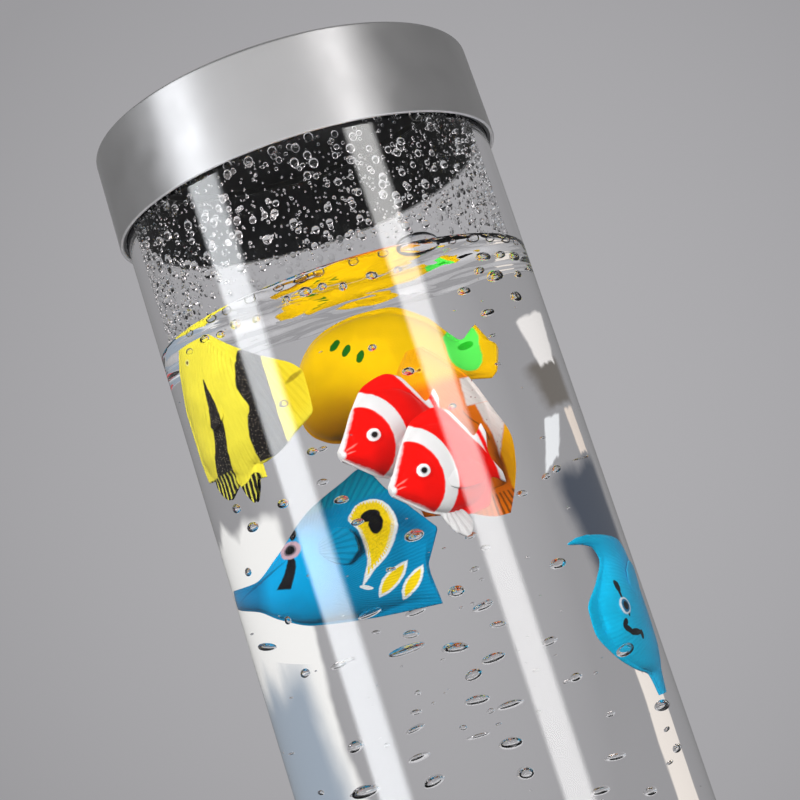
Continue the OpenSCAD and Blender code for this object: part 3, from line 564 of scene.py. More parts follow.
def makeBubbles(setup):
    # the bubbles are hollows in the water, so their faces look into the air
    rng = random.Random(11)
    fine, coarse = bubbleBody("fineBubble", 22, 14), bubbleBody("coarseBubble", 10, 6)
    every = []
    for x, y, below, wide, high in setup["large"]:
        place = Vector((x * mm, y * mm, capRim + below * mm))
        tilt = (rng.uniform(-0.2, 0.2), rng.uniform(-0.2, 0.2), rng.uniform(0, math.tau))
        every.append(copied(fine, place, Vector((wide, wide * rng.uniform(0.6, 0.9), high)) * mm,
            tilt))
    boxes = [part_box(name) for name in nodes if name.startswith("fish_")]
    taken = [(piece.location.copy(), piece.scale.x) for piece in every]

    def scatter(count, low, high):
        placed = 0
        while placed < count:
            wide = chanceWidth(setup, rng)
            reach, angle = setup["reach"] * math.sqrt(rng.random()), rng.uniform(0, math.tau)
            place = Vector((reach * math.cos(angle) * mm, reach * math.sin(angle) * mm,
                capRim + rng.uniform(low, high) * mm))
            size = Vector((wide, wide * rng.uniform(0.7, 1), wide * rng.uniform(0.45, 0.8))) * mm
            inFish = any(all(low3[i] - size.x < place[i] < high3[i] + size.x for i in range(3))
                for low3, high3 in boxes)
            if inFish or any((place - other).length < (size.x + width) * 0.55 for other,
                    width in taken):
                continue
            tilt = (rng.uniform(-0.25, 0.25), rng.uniform(-0.25, 0.25), rng.uniform(0, math.tau))
            every.append(copied(coarse, place, size, tilt))
            taken.append((place, size.x))
            placed += 1

    scatter(setup["small"], setup["depths"][0], setup["depths"][1])
    scatter(setup["sparse"], setup["depths"][1], (plugTop - capRim) / mm + setup["overFoot"])
    hollows = every[0]
    joined(hollows, every[1:])
    settle(hollows)
    faceAlike(inside=True)
    hollows.data.materials.append(waterBody.data.materials[0])
    smooth(hollows, 80)
    for master in (fine, coarse):
        bpy.data.objects.remove(master)
    joined(waterBody, [hollows])


def dropDome(segments, rings):
    # most of a half sphere, flat where it sits on the wall
    deselectAll()
    bpy.ops.mesh.primitive_uv_sphere_add(segments=segments, ring_count=rings, radius=0.5)
    dome = named("drop")
    bpy.ops.object.mode_set(mode="EDIT")
    bpy.ops.mesh.select_all(action="SELECT")
    bpy.ops.mesh.bisect(plane_co=(0, 0, drops["cut"]), plane_no=(0, 0, 1), clear_inner=True,
        use_fill=True)
    bpy.ops.object.mode_set(mode="OBJECT")
    return dome


def makeDrops(setup):
    # low domes of water on the dry inner wall, under the cap and down to the water
    rng = random.Random(23)
    fine, coarse = dropDome(10, 8), dropDome(6, 4)
    every = []
    for _ in range(setup["count"]):
        wide = chanceWidth(setup, rng)
        angle, below = rng.uniform(0, math.pi), rng.uniform(setup["bottom"], setup["top"])
        inward = Vector((-math.cos(angle), -math.sin(angle), 0))
        reach = boreRadius - setup["gap"] + setup["cut"] * setup["tall"] * wide * mm
        place = -inward * reach + Vector((0, 0, capRim + below * mm))
        turn = inward.to_track_quat("Z", "Y").to_euler()
        size = Vector((wide, wide * rng.uniform(1, 1.3), wide * setup["tall"])) * mm
        every.append(copied(fine if wide > 1.1 else coarse, place, size, turn))
    wet = every[0]
    joined(wet, every[1:])
    settle(wet)
    named("wallDrops")
    # the other half of the wall has the same drops
    joined(wet, [copied(wet, (0, 0, 0), (1, 1, 1), (0, 0, math.pi))])
    wet.data.materials.append(clearMaterial("dropWater", waterIndex))
    smooth(wet, 80)
    for dome in (fine, coarse):
        bpy.data.objects.remove(dome)
    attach(wet, "lamp")
    wet.visible_shadow = False
    return wet


def makeFoam(setup):
    # thin-walled bubbles that float on the water, half above it
    rng = random.Random(31)
    master = bubbleBody("foamBubble", 24, 16)
    every = []
    for x, y, below, wide, high in setup:
        place = Vector((x * mm, y * mm, capRim + below * mm))
        tilt = (rng.uniform(-0.1, 0.1), rng.uniform(-0.1, 0.1), math.atan2(x, -y))
        every.append(copied(master, place, Vector((wide, min(wide, 7) * 0.8, high)) * mm, tilt))
    foam = every[0]
    joined(foam, every[1:])
    settle(foam)
    named("surfaceBubbles")
    smooth(foam, 80)
    bpy.data.objects.remove(master)
    material, tree, shader = startMaterial("bubbleFilm")
    # painted shade: the film darkens towards its rim, drawing a dark outline where it is seen
    # edge-on
    rim = addNode(tree, "LayerWeight", {"Blend": 0.5}).outputs["Facing"]
    streak = objectNoise(tree, 420, 2)
    edge = spread(tree, calculate(tree, "MULTIPLY_ADD", streak, 0.25, rim), 0.0, 1.0, 0.6, 1.0)
    shade = mixColour(tree, edge, (0.98, 0.98, 0.98, 1), (0.1, 0.1, 0.11, 1))
    passing = addNode(tree, "BsdfTransparent", {"Color": shade})
    gloss = addNode(tree, "BsdfGlossy", {"Color": (0.9, 0.92, 0.95, 1), "Roughness": 0.03})
    shine = addNode(tree, "Fresnel", {"IOR": 1.33}).outputs[0]
    mixed = addNode(tree, "MixShader", {0: shine, 1: passing.outputs[0], 2: gloss.outputs[0]})
    showSurface(tree, mixed)
    foam.data.materials.append(material)
    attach(foam, "lamp")
    foam.visible_shadow = False
    return foam


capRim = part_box("cap_shell")[0].z
makeBubbles(bubbles)
wallDrops = makeDrops(drops)
surfaceBubbles = makeFoam(foam)
print("bubbles and drops made")


# the seven moulded fish
# a form's row: mm behind the nose, fin's top, back, belly, fin's foot, half thickness

def betweenRows(rows, place):
    # every column of a form at one place, on curves that pass its rows and don't overshoot
    last = len(rows) - 1
    index = max(i for i in range(last) if rows[i][0] <= place or i == 0)
    step = rows[index + 1][0] - rows[index][0]
    share = min(1, max(0, (place - rows[index][0]) / step))

    def rise(i, column):
        return (rows[i + 1][column] - rows[i][column]) / (rows[i + 1][0] - rows[i][0])

    def slope(i, column):
        if i == 0 or i == last:
            return rise(min(i, last - 1), column)
        before, after = rise(i - 1, column), rise(i, column)
        return 0 if before * after <= 0 else 2 * before * after / (before + after)

    values = []
    for column in range(1, len(rows[0])):
        start, end = rows[index][column], rows[index + 1][column]
        bend = start * (1 + 2 * share) * (1 - share) ** 2 + end * share ** 2 * (3 - 2 * share)
        bend += step * slope(index, column) * share * (1 - share) ** 2
        bend -= step * slope(index + 1, column) * share ** 2 * (1 - share)
        values.append(bend)
    return values


def fishShape(name, rows, finThickness=1.2, tailCut=None, relief=None, detail=(96, 120)):
    # a sphere whose rings take the form's sections; nose at the origin, tail along -X
    deselectAll()
    bpy.ops.mesh.primitive_uv_sphere_add(segments=detail[0], ring_count=detail[1], radius=1)
    piece = named(name)
    length = rows[-1][0]
    sides = []
    for vertex in piece.data.vertices:
        x, y, z = vertex.co
        place = length * (1 - z) / 2
        finTop, back, belly, finFoot, half = betweenRows(rows, place)
        ring = max(math.hypot(x, y), 1e-9)
        share = x / ring if ring > 1e-6 else 0
        height = (finTop + finFoot) / 2 + (finTop - finFoot) / 2 * share
        across = (height - (back + belly) / 2) / ((back - belly) / 2)
        body = half * math.sqrt(max(0, 1 - across * across))
        fin = finThickness / 2 * math.sqrt(max(0, 1 - share ** 8))
        thick = (body ** 3 + fin ** 3) ** (1 / 3)
        if relief:
            thick += relief(place, height) * min(1, 8 * (1 - abs(share)))
        if tailCut:
            ramp = max(0, min(1, (place / length - 0.75) / 0.25))
            place -= tailCut(height) * ramp * ramp * (3 - 2 * ramp)
        side = 0 if abs(y) < 1e-6 else math.copysign(thick, y)
        vertex.co = Vector((-place, side, height)) * mm
        sides.append((place / 100, 0.5 + height / 100))
    layer = piece.data.uv_layers[0]
    layer.name = "side"
    for loop in piece.data.loops:
        layer.data[loop.index].uv = sides[loop.vertex_index]
    faceAlike()
    smooth(piece, 60)
    return piece


def sideFins(root, spreadDegrees, rows, ownPaint=False):
    # a pair of cheek fins, one on each side; without a paint of their own they carry on the body's
    # pattern
    pair = []
    for side in (-1, 1):
        fin = fishShape("cheekFin", rows, 0.9, detail=(32, 40))
        place = Matrix.Translation(Vector((root[0], side * root[1], root[2])) * mm)
        fin.matrix_world = place @ Matrix.Rotation(math.radians(-side * spreadDegrees), 4, "Z")
        settle(fin)
        if not ownPaint:
            layer = fin.data.uv_layers["side"]
            for loop in fin.data.loops:
                point = fin.data.vertices[loop.vertex_index].co
                layer.data[loop.index].uv = (-point.x * 10, 0.5 + point.z * 10)
        fin["paint"] = 1 if ownPaint else 0
        pair.append(fin)
    return pair


def cutTail(setup):
    # the tail ends where its own drawn line does
    return lambda height: setup["rows"][-1][0] - betweenRows(setup["tailEnds"], height)[0]


def eyeDome(at, radius, rise):
    # a low dome for a moulded eye, as extra thickness
    def extra(place, height):
        reach = math.hypot(place - at[0], height - at[1]) / radius
        return rise * (1 - reach * reach) if reach < 1 else 0
    return extra


def finRibs(centre, spacing, depth, start):
    # fine ribs that fan out from a centre, beyond a distance from it
    def extra(place, height):
        away = math.hypot(place - centre[0], height - centre[1])
        fade = min(1, max(0, (away - start) / 3))
        angle = math.degrees(math.atan2(height - centre[1], place - centre[0]))
        return depth * fade * math.cos(angle / spacing * math.tau)
    return extra


paint = {}    # the one that is being mixed: its shader nodes, places and colour so far


def paintStart(name, base, wobble=0.4):
    # a painted fish: wet glossy skin, and the place on its side in mm behind and above the nose
    material, tree, shader = startMaterial(name)
    side = addNode(tree, "UVMap", uv_map="side").outputs[0]
    place = addNode(tree, "VectorMath", {0: side, 1: (100, 100, 0), 2: (0, -50, 0)},
        operation="MULTIPLY_ADD").outputs[0]
    drift = addNode(tree, "TexNoise", {"Vector": place, "Scale": 0.9, "Detail": 3}).outputs["Color"]
    drift = addNode(tree, "VectorMath", {0: drift, 1: (wobble, wobble, 0),
        2: (-wobble / 2, -wobble / 2, 0)}, operation="MULTIPLY_ADD").outputs[0]
    place = addNode(tree, "VectorMath", {0: place, 1: drift}, operation="ADD").outputs[0]
    parts = addNode(tree, "SeparateXYZ", {0: place}).outputs
    cloud = spread(tree, addNode(tree, "TexNoise", {"Vector": place, "Scale": 0.12}).outputs["Fac"],
        0.0, 1.0)
    dark = tuple(0.85 * value for value in base[:3]) + (1,)
    shader.inputs["Roughness"].default_value = 0.32
    shader.inputs["IOR"].default_value = 1.2     # against water
    paint.update(material=material, tree=tree, shader=shader, place=place, behind=parts["X"],
        height=parts["Y"], colour=mixColour(tree, cloud, dark, base))


def placeFrom(at, turn, size=(1, 1)):
    # the place measured from a point, along turned axes
    return addNode(paint["tree"], "Mapping", {"Vector": paint["place"], "Location": (*at, 0),
        "Scale": (*size, 1), "Rotation": (0, 0, math.radians(turn))},
        vector_type="TEXTURE").outputs[0]


def aheadOf(at, turn):
    return addNode(paint["tree"], "SeparateXYZ", {0: placeFrom(at, turn)}).outputs["X"]


def under(value, edge, soft):
    # 1 where a value is smaller than the edge, with a soft change
    return spread(paint["tree"], value, 1.0, 0.0, edge - soft, edge + soft)


def oval(at, size, turn=0.0, soft=0.08):
    # 1 inside an oval patch, 0 outside
    local = placeFrom(at, turn, size)
    reach = addNode(paint["tree"], "VectorMath", {0: local}, operation="LENGTH").outputs["Value"]
    return under(reach, 1, soft)


def beyond(at, turn, soft=0.2):
    # 1 past a straight line through a point, on the side that the turned arrow points to
    return spread(paint["tree"], aheadOf(at, turn), 0.0, 1.0, -soft, soft)


def drawn(points, along="behind", shift=0.0, soft=0.15):
    # 1 above a drawn curve of (mm behind, height) points, or behind one of (height, mm behind)
    # points
    tree = paint["tree"]
    scale, shiftIn = 0.02, 0.2    # mm onto the curve's range of 0 to 1
    share = calculate(tree, "MULTIPLY_ADD", paint[along], scale, shiftIn)
    node = addNode(tree, "FloatCurve", {"Value": share})
    curve = node.mapping.curves[0]
    for index, (start, value) in enumerate(points):
        spot = (start * scale + shiftIn, value * scale + shiftIn)
        if index < 2:
            curve.points[index].location = spot
        else:
            curve.points.new(*spot)
    node.mapping.update()
    edge = calculate(tree, "MULTIPLY_ADD", node.outputs[0], 1 / scale, shift - shiftIn / scale)
    other = paint["height" if along == "behind" else "behind"]
    return spread(tree, calculate(tree, "SUBTRACT", other, edge), 0.0, 1.0, -soft, soft)


def stripes(at, turn, pitch, share=0.5, soft=0.12):
    # 1 on parallel stripes, where share is the painted part of each pitch
    wave = calculate(paint["tree"], "PINGPONG", aheadOf(at, turn), pitch / 2)
    return under(wave, pitch / 2 * share, soft)


def rays(centre, spacing, share=0.5):
    # 1 on rays that fan out from a centre, spaced in degrees
    tree = paint["tree"]
    local = addNode(tree, "VectorMath", {0: paint["place"], 1: (*centre, 0)},
        operation="SUBTRACT").outputs[0]
    parts = addNode(tree, "SeparateXYZ", {0: local}).outputs
    angle = calculate(tree, "ARCTAN2", parts["Y"], parts["X"])
    pitch, soft = math.radians(spacing), 0.08
    wave = calculate(tree, "PINGPONG", angle, pitch / 2)
    return spread(tree, wave, 1.0, 0.0, pitch * (share / 2 - soft), pitch * (share / 2 + soft))


def both(*parts):
    result = parts[0]
    for part in parts[1:]:
        result = calculate(paint["tree"], "MINIMUM", result, part)
    return result


def either(*parts):
    result = parts[0]
    for part in parts[1:]:
        result = calculate(paint["tree"], "MAXIMUM", result, part)
    return result


def outside(part):
    return calculate(paint["tree"], "SUBTRACT", 1.0, part)


def without(part, hole):
    return both(part, outside(hole))


def faded(part, share):
    return calculate(paint["tree"], "MULTIPLY", part, share)


def lay(mask, colour):
    paint["colour"] = mixColour(paint["tree"], mask, paint["colour"], colour)


def speckles(scale, size):
    dots = addNode(paint["tree"], "TexVoronoi",
        {"Vector": paint["place"], "Scale": scale}).outputs["Distance"]
    return under(dots, size, 0.04)


def layEye(at, radius, ring, iris, pupil=(14, 12, 12)):
    for share, soft, colour in ((1, 0.06, ring), (0.56, 0.1, iris), (0.42, 0.12, pupil)):
        lay(oval(at, (radius * share, radius * share), soft=soft), tone(*colour))


def layRings(at, *rings):
    # an eye's rings, from the widest to the narrowest
    for size, colour in rings:
        lay(oval(at, size, 0), colour)


def paintDone(ribs=None, ribDepth=0.25):
    # the layered colour reaches the shader, with a fine moulded grain
    tree, shader = paint["tree"], paint["shader"]
    tree.links.new(paint["colour"], shader.inputs["Base Color"])
    grain = addNode(tree, "TexNoise", {"Vector": paint["place"], "Scale": 1.6,
        "Detail": 2}).outputs["Fac"]
    grain = calculate(tree, "MULTIPLY", grain, 0.06)
    if ribs:
        grain = calculate(tree, "ADD", grain, calculate(tree, "MULTIPLY", ribs, ribDepth))
    bump(tree, shader, grain, 0.5, mm)
    return paint["material"]


def finSkin(name, colour, ribShade=0.75):
    paintStart(name, colour)
    lines = rays((-3, 0), 9, 0.4)
    lay(faded(lines, 0.6), tuple(ribShade * value for value in colour[:3]) + (1,))
    return paintDone(lines)


def placeFish(piece, fins, skin, place, body, node, ownSkin=None):
    # body and fins together, turned and moved to their place below the cap's rim
    for part in (piece, *fins):
        for material in (skin, ownSkin or skin):
            part.data.materials.append(material)
    for fin in fins:
        for face in fin.data.polygons:
            face.material_index = fin["paint"]
    joined(piece, fins)
    roll, pitch, yaw = (Matrix.Rotation(math.radians(angle), 4, axis) for angle,
        axis in zip(place["turn"], "XYZ"))
    x, y, below = place["at"]
    there = Matrix.Translation(Vector((x * mm, y * mm, capRim + below * mm)))
    piece.matrix_world = there @ yaw @ pitch @ roll
    settle(piece)
    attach(piece, body)
    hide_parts(node)


paddleFin = [[0, 2, 1.8, -0.8, -1, 0.45], [2, 2.9, 2.6, -2, -2.2, 0.5],
    [4.4, 3.4, 3, -2.6, -2.8, 0.45], [7.2, 3, 2.6, -2.6, -2.9, 0.4],
    [8.8, 1.4, 1.2, -1.6, -1.8, 0.35], [9.5, 0.2, 0, -0.7, -0.9, 0.3]]
fanFin = [[0, 2.4, 2.2, -0.6, -0.8, 0.45], [2, 3.8, 3.6, -2.6, -2.8, 0.5],
    [4.2, 4.9, 4.6, -3.6, -3.9, 0.45], [6.4, 4.6, 4.2, -3.8, -4.2, 0.4],
    [8.4, 2.4, 2.2, -2, -2.2, 0.35], [9.1, -0.2, -0.4, -1.2, -1.4, 0.3]]
bellyFin = [[0, 2.9, 2.6, -2.6, -2.9, 0.4], [4, 2.8, 2.5, -2.4, -2.7, 0.4],
    [7, 2.7, 2.4, -2, -2.2, 0.35], [8.6, 2, 1.7, -1, -1.2, 0.3], [9.5, 0.6, 0.4, -0.4, -0.6, 0.25]]


butterflyFish = {
    "rows": [[0, 5, 4, -4.6, -5.4, 1.6], [4.5, 9.5, 7, -6.4, -7.4, 3.4],
             [11, 17.5, 11.6, -8.2, -9, 4.8],
             [16, 25, 14, -9, -10, 5.2], [19, 27, 15, -9, -10, 5.2], [28, 26.4, 13.6, -9, -10, 4.4],
             [32, 19, 11, -7.6, -9.6, 3.2], [35, 13.5, 8.5, -6.4, -9, 2.2],
             [37, 9, 7.5, -5.5, -6.6, 1.5],
             [43.5, 9, 8.4, -6, -6.6, 0.9]],
    "tailEnds": [[-6.6, 36], [-5, 39], [-2.9, 40.4], [0.6, 37], [2.4, 41], [4, 43.5], [5.8, 40.6],
                 [7.2, 37.4], [9.9, 39.6]],     # height, mm behind the nose
    "at": (-34.6, -18.9, -32.8),
    "turn": (0, -90, 142.6),
    "yellow": tone(255, 240, 70),
    "amber": tone(246, 214, 30),
    "black": tone(26, 23, 23),
}


def makeButterflyFish(setup):
    ridges = finRibs((-14, 6), 3.2, 0.09, 22)
    piece = fishShape("butterflyFish", setup["rows"], tailCut=cutTail(setup), relief=ridges)
    fins = sideFins((-14, 3.8, 2), 12, paddleFin)
    yellow, black = setup["yellow"], setup["black"]
    paintStart("butterflyPaint", yellow)
    lay(faded(oval((20, 24), (9, 5), 0, 0.3), 0.7), setup["amber"])
    # a dark wedge along the middle, its point towards the nose
    wedge = both(beyond((10.6, 0), 0), beyond((36, 0), 180),
        drawn([(10, 1.8), (16, 1.2), (21, 0.5), (26, -0.7), (31, -3.5), (36, -5)]),
        outside(drawn([(10, 1.9), (13, 2.6), (18, 3.7), (23, 4.1), (30, 2.3), (36, 1)])))
    # and a dark field over it, with a wavy edge
    field = both(beyond((7.2, 0), 0), beyond((34.8, 0), 180), beyond((0, 17.5), -90),
        drawn([(7, 12), (9, 10.8), (12.5, 10.7), (16, 10.4), (19, 11.3), (21.5, 12), (24, 10.8),
        (27, 9.8), (30, 9.3), (36, 8.6)]))
    lobes = either(both(beyond((34, 0), 0), beyond((34, 0.8), -90)),
        both(drawn([(0, 38), (1, 38.4), (4, 38), (6.4, 36.6), (8, 37.6)], "height"),
        beyond((36, 0.6), 90), beyond((36, 7.8), -90)))
    lay(wedge, black)
    lay(field, black)
    lay(lobes, black)
    lay(both(lobes, stripes((0, 0.4), 86, 1.25, 0.34)), tone(222, 216, 84))
    lay(faded(oval((19, 24.4), (2.6, 0.6), 104, 0.3), 0.7), tone(150, 118, 20))
    layEye((4.4, -2.4), 0.8, (250, 244, 150), (150, 120, 30), (90, 70, 20))
    # painted glints: pale specks over the dark parts
    dark = either(wedge, field)
    lay(faded(both(dark, speckles(2.4, 0.2)), 0.6), tone(215, 200, 170))
    skin = paintDone(rays((-14, 6), 2.2, 0.5))
    placeFish(piece, fins, skin, setup, "butterfly_fish", "fish_butterfly")


yellowFish = {
    "rows": [[0, 3.4, 2.8, -3.4, -4, 2.4], [1.6, 9, 8.4, -10, -10.6, 4.6],
             [3.6, 12.6, 12, -13, -13.6, 6.4],
             [7, 15.4, 14.6, -15, -15.8, 7.4], [12, 17.2, 16.2, -15.6, -16.6, 8],
             [17, 17.6, 16, -15.4, -16.4, 8],
             [24, 13.4, 11.8, -11.8, -12.8, 6.6], [29, 7.2, 6.2, -6, -7, 3.6],
             [31.5, 5.6, 4.8, -4.6, -5.4, 2],
             [36.6, 9, 8.4, -5.4, -6, 0.9]],
    "tailEnds": [[-6, 35.6], [-4, 36.4], [1, 36.5], [3, 36.1], [5.2, 34], [9, 32.8]],
    "at": (-13, 24, -47.5),
    "turn": (0, -11, 180),
    "amber": tone(255, 205, 0),
    "orange": tone(240, 166, 4),
    "green": tone(96, 250, 96),
    "darkGreen": tone(22, 100, 16),
}


def makeYellowFish(setup):
    piece = fishShape("yellowFish", setup["rows"], tailCut=cutTail(setup))
    fins = sideFins((-18, 6.2, -2), 10, paddleFin)
    paintStart("yellowPaint", setup["amber"])
    # painted shade: below the middle the body turns a darker orange, deepening towards the belly
    lay(spread(paint["tree"], paint["height"], 1.0, 0.0, -12, -1), setup["orange"])
    for at, turn in (((7.4, 9.1), 64), ((9.6, 7.1), 72), ((12.2, 4.8), 78)):
        lay(oval(at, (1.6, 0.75), turn), setup["darkGreen"])
    patch = both(drawn([(-3.4, 32), (-2, 30.2), (0, 28.9), (4, 28), (7.6, 27.6), (9.4, 30)],
        "height"), outside(drawn([(-3.4, 32.8), (-1.6, 34), (3, 33.7), (7.6, 32.8), (9.4, 31)],
        "height")), beyond((30, 9.2), -90), beyond((30, -3.2), 90))
    lay(patch, setup["green"])
    lay(oval((31.3, 3.6), (1.4, 1.0), 30), tone(40, 190, 40))
    skin = paintDone()
    placeFish(piece, fins, skin, setup, "yellow_fish", "fish_yellow")


bandedFish = {
    "rows": [[0, 1.3, 0.9, -0.9, -1.3, 0.9], [2.5, 4, 3.4, -3.2, -3.8, 2.6],
             [7, 9.6, 9, -7.4, -8, 4.4],
             [12, 14, 12, -9.6, -10.4, 5], [17, 15, 11.4, -9.6, -11.6, 4.6],
             [20.4, 13.2, 9, -8, -11.4, 3.4],
             [22.6, 8.4, 5.4, -4.8, -8, 2], [23.8, 5.4, 4.6, -4.6, -5.4, 1.3],
             [26.6, 7.6, 7, -7, -7.6, 0.9]],
    "eye": (7.3, 1.7),
    "red": tone(255, 12, 4),
    "white": tone(240, 238, 238),
    "upper": {"at": (-11, -32, -73.3), "turn": (0, 5, -155)},
    "lower": {"at": (-3, -42, -85.7), "turn": (0, 5, -155)},
}


def makeBandedFish(setup, which):
    eye = eyeDome(setup["eye"], 2.1, 0.7)
    piece = fishShape("redFish" + which.capitalize(), setup["rows"], relief=eye,
        tailCut=lambda height: 1.4 * max(0, 1 - (height / 5) ** 2))
    fins = sideFins((-12, 4.2, -3), 5, paddleFin)
    belly = fishShape("bellyFin", bellyFin, 0.9, detail=(32, 40))
    root = Matrix.Translation(Vector((-11.4, 0, -6.7)) * mm)
    belly.matrix_world = root @ Matrix.Rotation(math.radians(-78), 4, "Y")
    settle(belly)
    belly["paint"] = 1
    fins.append(belly)
    white = setup["white"]
    paintStart("redPaint" + which.capitalize(), setup["red"])
    # a curved white band behind the head, and one before the tail
    head = oval((3.5, 0.8), (8.1, 10.4), 0, 0.02)
    lay(without(oval((4.5, 1.5), (10.5, 13.6), 0, 0.015), head), white)
    lay(both(beyond((21.2, 9.5), 22), beyond((24.6, 0), 180)), white)
    lay(beyond((25.6, 0), 0), white)
    # white along the forehead, the belly's edge and the lips
    lay(both(beyond((4.3, 5.5), 143), beyond((9.4, 0), 180)), white)
    lay(both(beyond((4.6, -5.1), -134), beyond((9.4, 0), 180)), white)
    lay(oval((0, 0), (0.9, 1.1), 0, 0.2), white)
    for at, size, turn in (((2.2, 0.9), (1.3, 0.2), 14), ((1.7, -0.2), (0.9, 0.18), -4)):
        lay(faded(oval(at, size, turn, 0.4), 0.45), tone(255, 170, 160))
    layEye(setup["eye"], 1.55, (250, 250, 250), (188, 186, 190))
    skin = paintDone(rays((6, 0), 7, 0.5), 0.015)
    placeFish(piece, fins, skin, setup[which], "red_" + which + "_fish", "fish_red_" + which,
        finSkin("redFin" + which.capitalize(), white))


orangeFish = {
    "rows": [[0, 1.8, 1.4, -1.4, -1.8, 1.2], [5, 5.4, 4.8, -4.6, -5.2, 3.2],
             [11, 8.8, 8.2, -7.8, -8.6, 4.6],
             [20, 11.4, 10, -9.4, -10.6, 5.4], [29, 13.4, 9.6, -9, -12, 4.6],
             [35, 12.6, 7.4, -7, -11, 3.2],
             [41, 10.8, 5, -5, -9, 2], [47, 8.3, 7.6, -7.6, -8.3, 0.9]],
    "tailEnds": [[-8.3, 41.4], [-1, 43.2], [6.2, 46.9], [8.3, 47]],
    "at": (10.35, -0.9, -50),
    "turn": (0, -90, 171),
    "orange": tone(244, 122, 10),
    "amber": tone(255, 180, 4),
    "brown": tone(112, 58, 12),
    "white": tone(238, 228, 222),
    "red": tone(150, 40, 24),
}


def makeOrangeFish(setup):
    piece = fishShape("orangeFish", setup["rows"], relief=eyeDome((6, 0.5), 1.6, 0.4),
        tailCut=cutTail(setup))
    fins = sideFins((-17, 4.6, -1), 8, paddleFin)
    paintStart("orangePaint", setup["orange"])
    white = setup["white"]
    lay(beyond((10, 0), 180, 1.5), setup["amber"])
    # white on the back with a ragged edge, then an amber fin
    upper = both(beyond((11, 0), 0), beyond((18.4, 0), 180), beyond((0, 7.4), 90))
    lower = both(beyond((18.4, 0), 0), beyond((27, 12.1), -111),
        drawn([(18, 8.9), (23, 9.4), (27, 9.9), (34, 9.8)]))
    fin = both(beyond((27, 12.1), 69), beyond((0, 10.4), 90))
    spots = speckles(1.1, 0.14)
    lay(fin, setup["amber"])
    lay(upper, white)
    lay(lower, white)
    lay(either(both(upper, spots), faded(both(lower, spots), 0.6)), setup["red"])
    # painted shade: brown in the fold between the orange body and the amber fin
    foldShade = both(drawn([(26, 9), (31, 8.7), (36, 8.6), (40, 7.4), (43, 6)], soft=0.9),
        outside(drawn([(26, 9.7), (31, 10), (36, 10.2), (40, 9), (43, 7.4)], soft=0.4)),
        beyond((27, 0), 0, 1), beyond((42, 0), 180, 1))
    lay(faded(foldShade, 0.8), setup["brown"])
    ring = both(drawn([(18, 5.6), (22, 7.4), (24, 8.5), (28, 9.1)], soft=0.08),
        outside(drawn([(18, 5.8), (22, 7.6), (24, 8.7), (28, 9.3)], soft=0.08)), beyond((19, 0), 0),
        beyond((28, 0), 180))
    lay(ring, setup["brown"])
    lay(faded(both(beyond((41.4, 0), 0), rays((28, 6), 3.4, 0.4)), 0.8), setup["brown"])
    layEye((6, 0.5), 0.7, (255, 200, 60), (200, 130, 20), (150, 90, 10))
    skin = paintDone(rays((2, 0), 3, 0.5), 0.1)
    placeFish(piece, fins, skin, setup, "orange_fish", "fish_orange")


blueFish = {
    "rows": [[0, 2.4, 2, -2, -2.4, 1.4], [7, 3.6, 3, -3.2, -3.6, 2.2], [12, 9, 8, -6, -6.5, 4],
             [19, 18.5, 15, -8.6, -9.2, 5.6], [27, 24.5, 16.5, -8.8, -9.6, 6],
             [31, 27, 16, -8.6, -9.6, 5.6],
             [36, 21, 13, -7.6, -9.4, 4.2], [41, 15.5, 10, -7, -9, 2.4],
             [46, 10, 8.8, -7.6, -8.6, 0.9]],
    "tailEnds": [[-9, 46], [-7, 45.4], [-3, 44], [2, 43.4], [7, 44], [9, 46]],
    "at": (-41, 2, -95.8),
    "turn": (0, -11.3, 162.7),
    "body": tone(0, 136, 184),
    "head": tone(0, 170, 232),
    "snout": tone(0, 124, 176),
    "finBlue": tone(0, 146, 176),
    "yellow": tone(242, 210, 16),
    "white": tone(226, 232, 232),
    "black": tone(14, 14, 18),
    "eyeRing": tone(206, 172, 184),
    "tearLeft": [(-1.7, 30.7), (1, 31.5), (4, 32.3), (7.5, 32), (11, 31), (12.7, 30.2),
                 (14.2, 28.7), (15.4, 28.2),
                 (16.8, 28.5), (18.4, 30), (19.1, 32.4)],    # height, mm behind the nose
    "tearRight": [(-1.7, 30.9), (2, 33.7), (5, 36.3), (8.3, 37.7), (11.5, 38.1), (15.8, 37),
                  (18.3, 35), (19.1, 32.8)],
}


def leafPatch(at, long, wide, turn):
    # a leaf with two pointed ends: where two circles cross
    radius = (long * long + wide * wide) / (2 * wide)
    aside = radius - wide
    across = math.radians(turn + 90)
    shift = Vector((math.cos(across), math.sin(across))) * aside
    middle = Vector(at)
    return both(oval(tuple(middle + shift), (radius, radius), soft=0.12 / radius),
        oval(tuple(middle - shift), (radius, radius), soft=0.12 / radius))


def teardrop(setup, left, right, top, foot):
    # the big drop on the flank, round above and drawn out to a point below
    return both(drawn(setup["tearLeft"], "height", left),
        outside(drawn(setup["tearRight"], "height", -right)), beyond((33, 19.1 - top), -90),
        beyond((33, -1.5 + foot), 90))


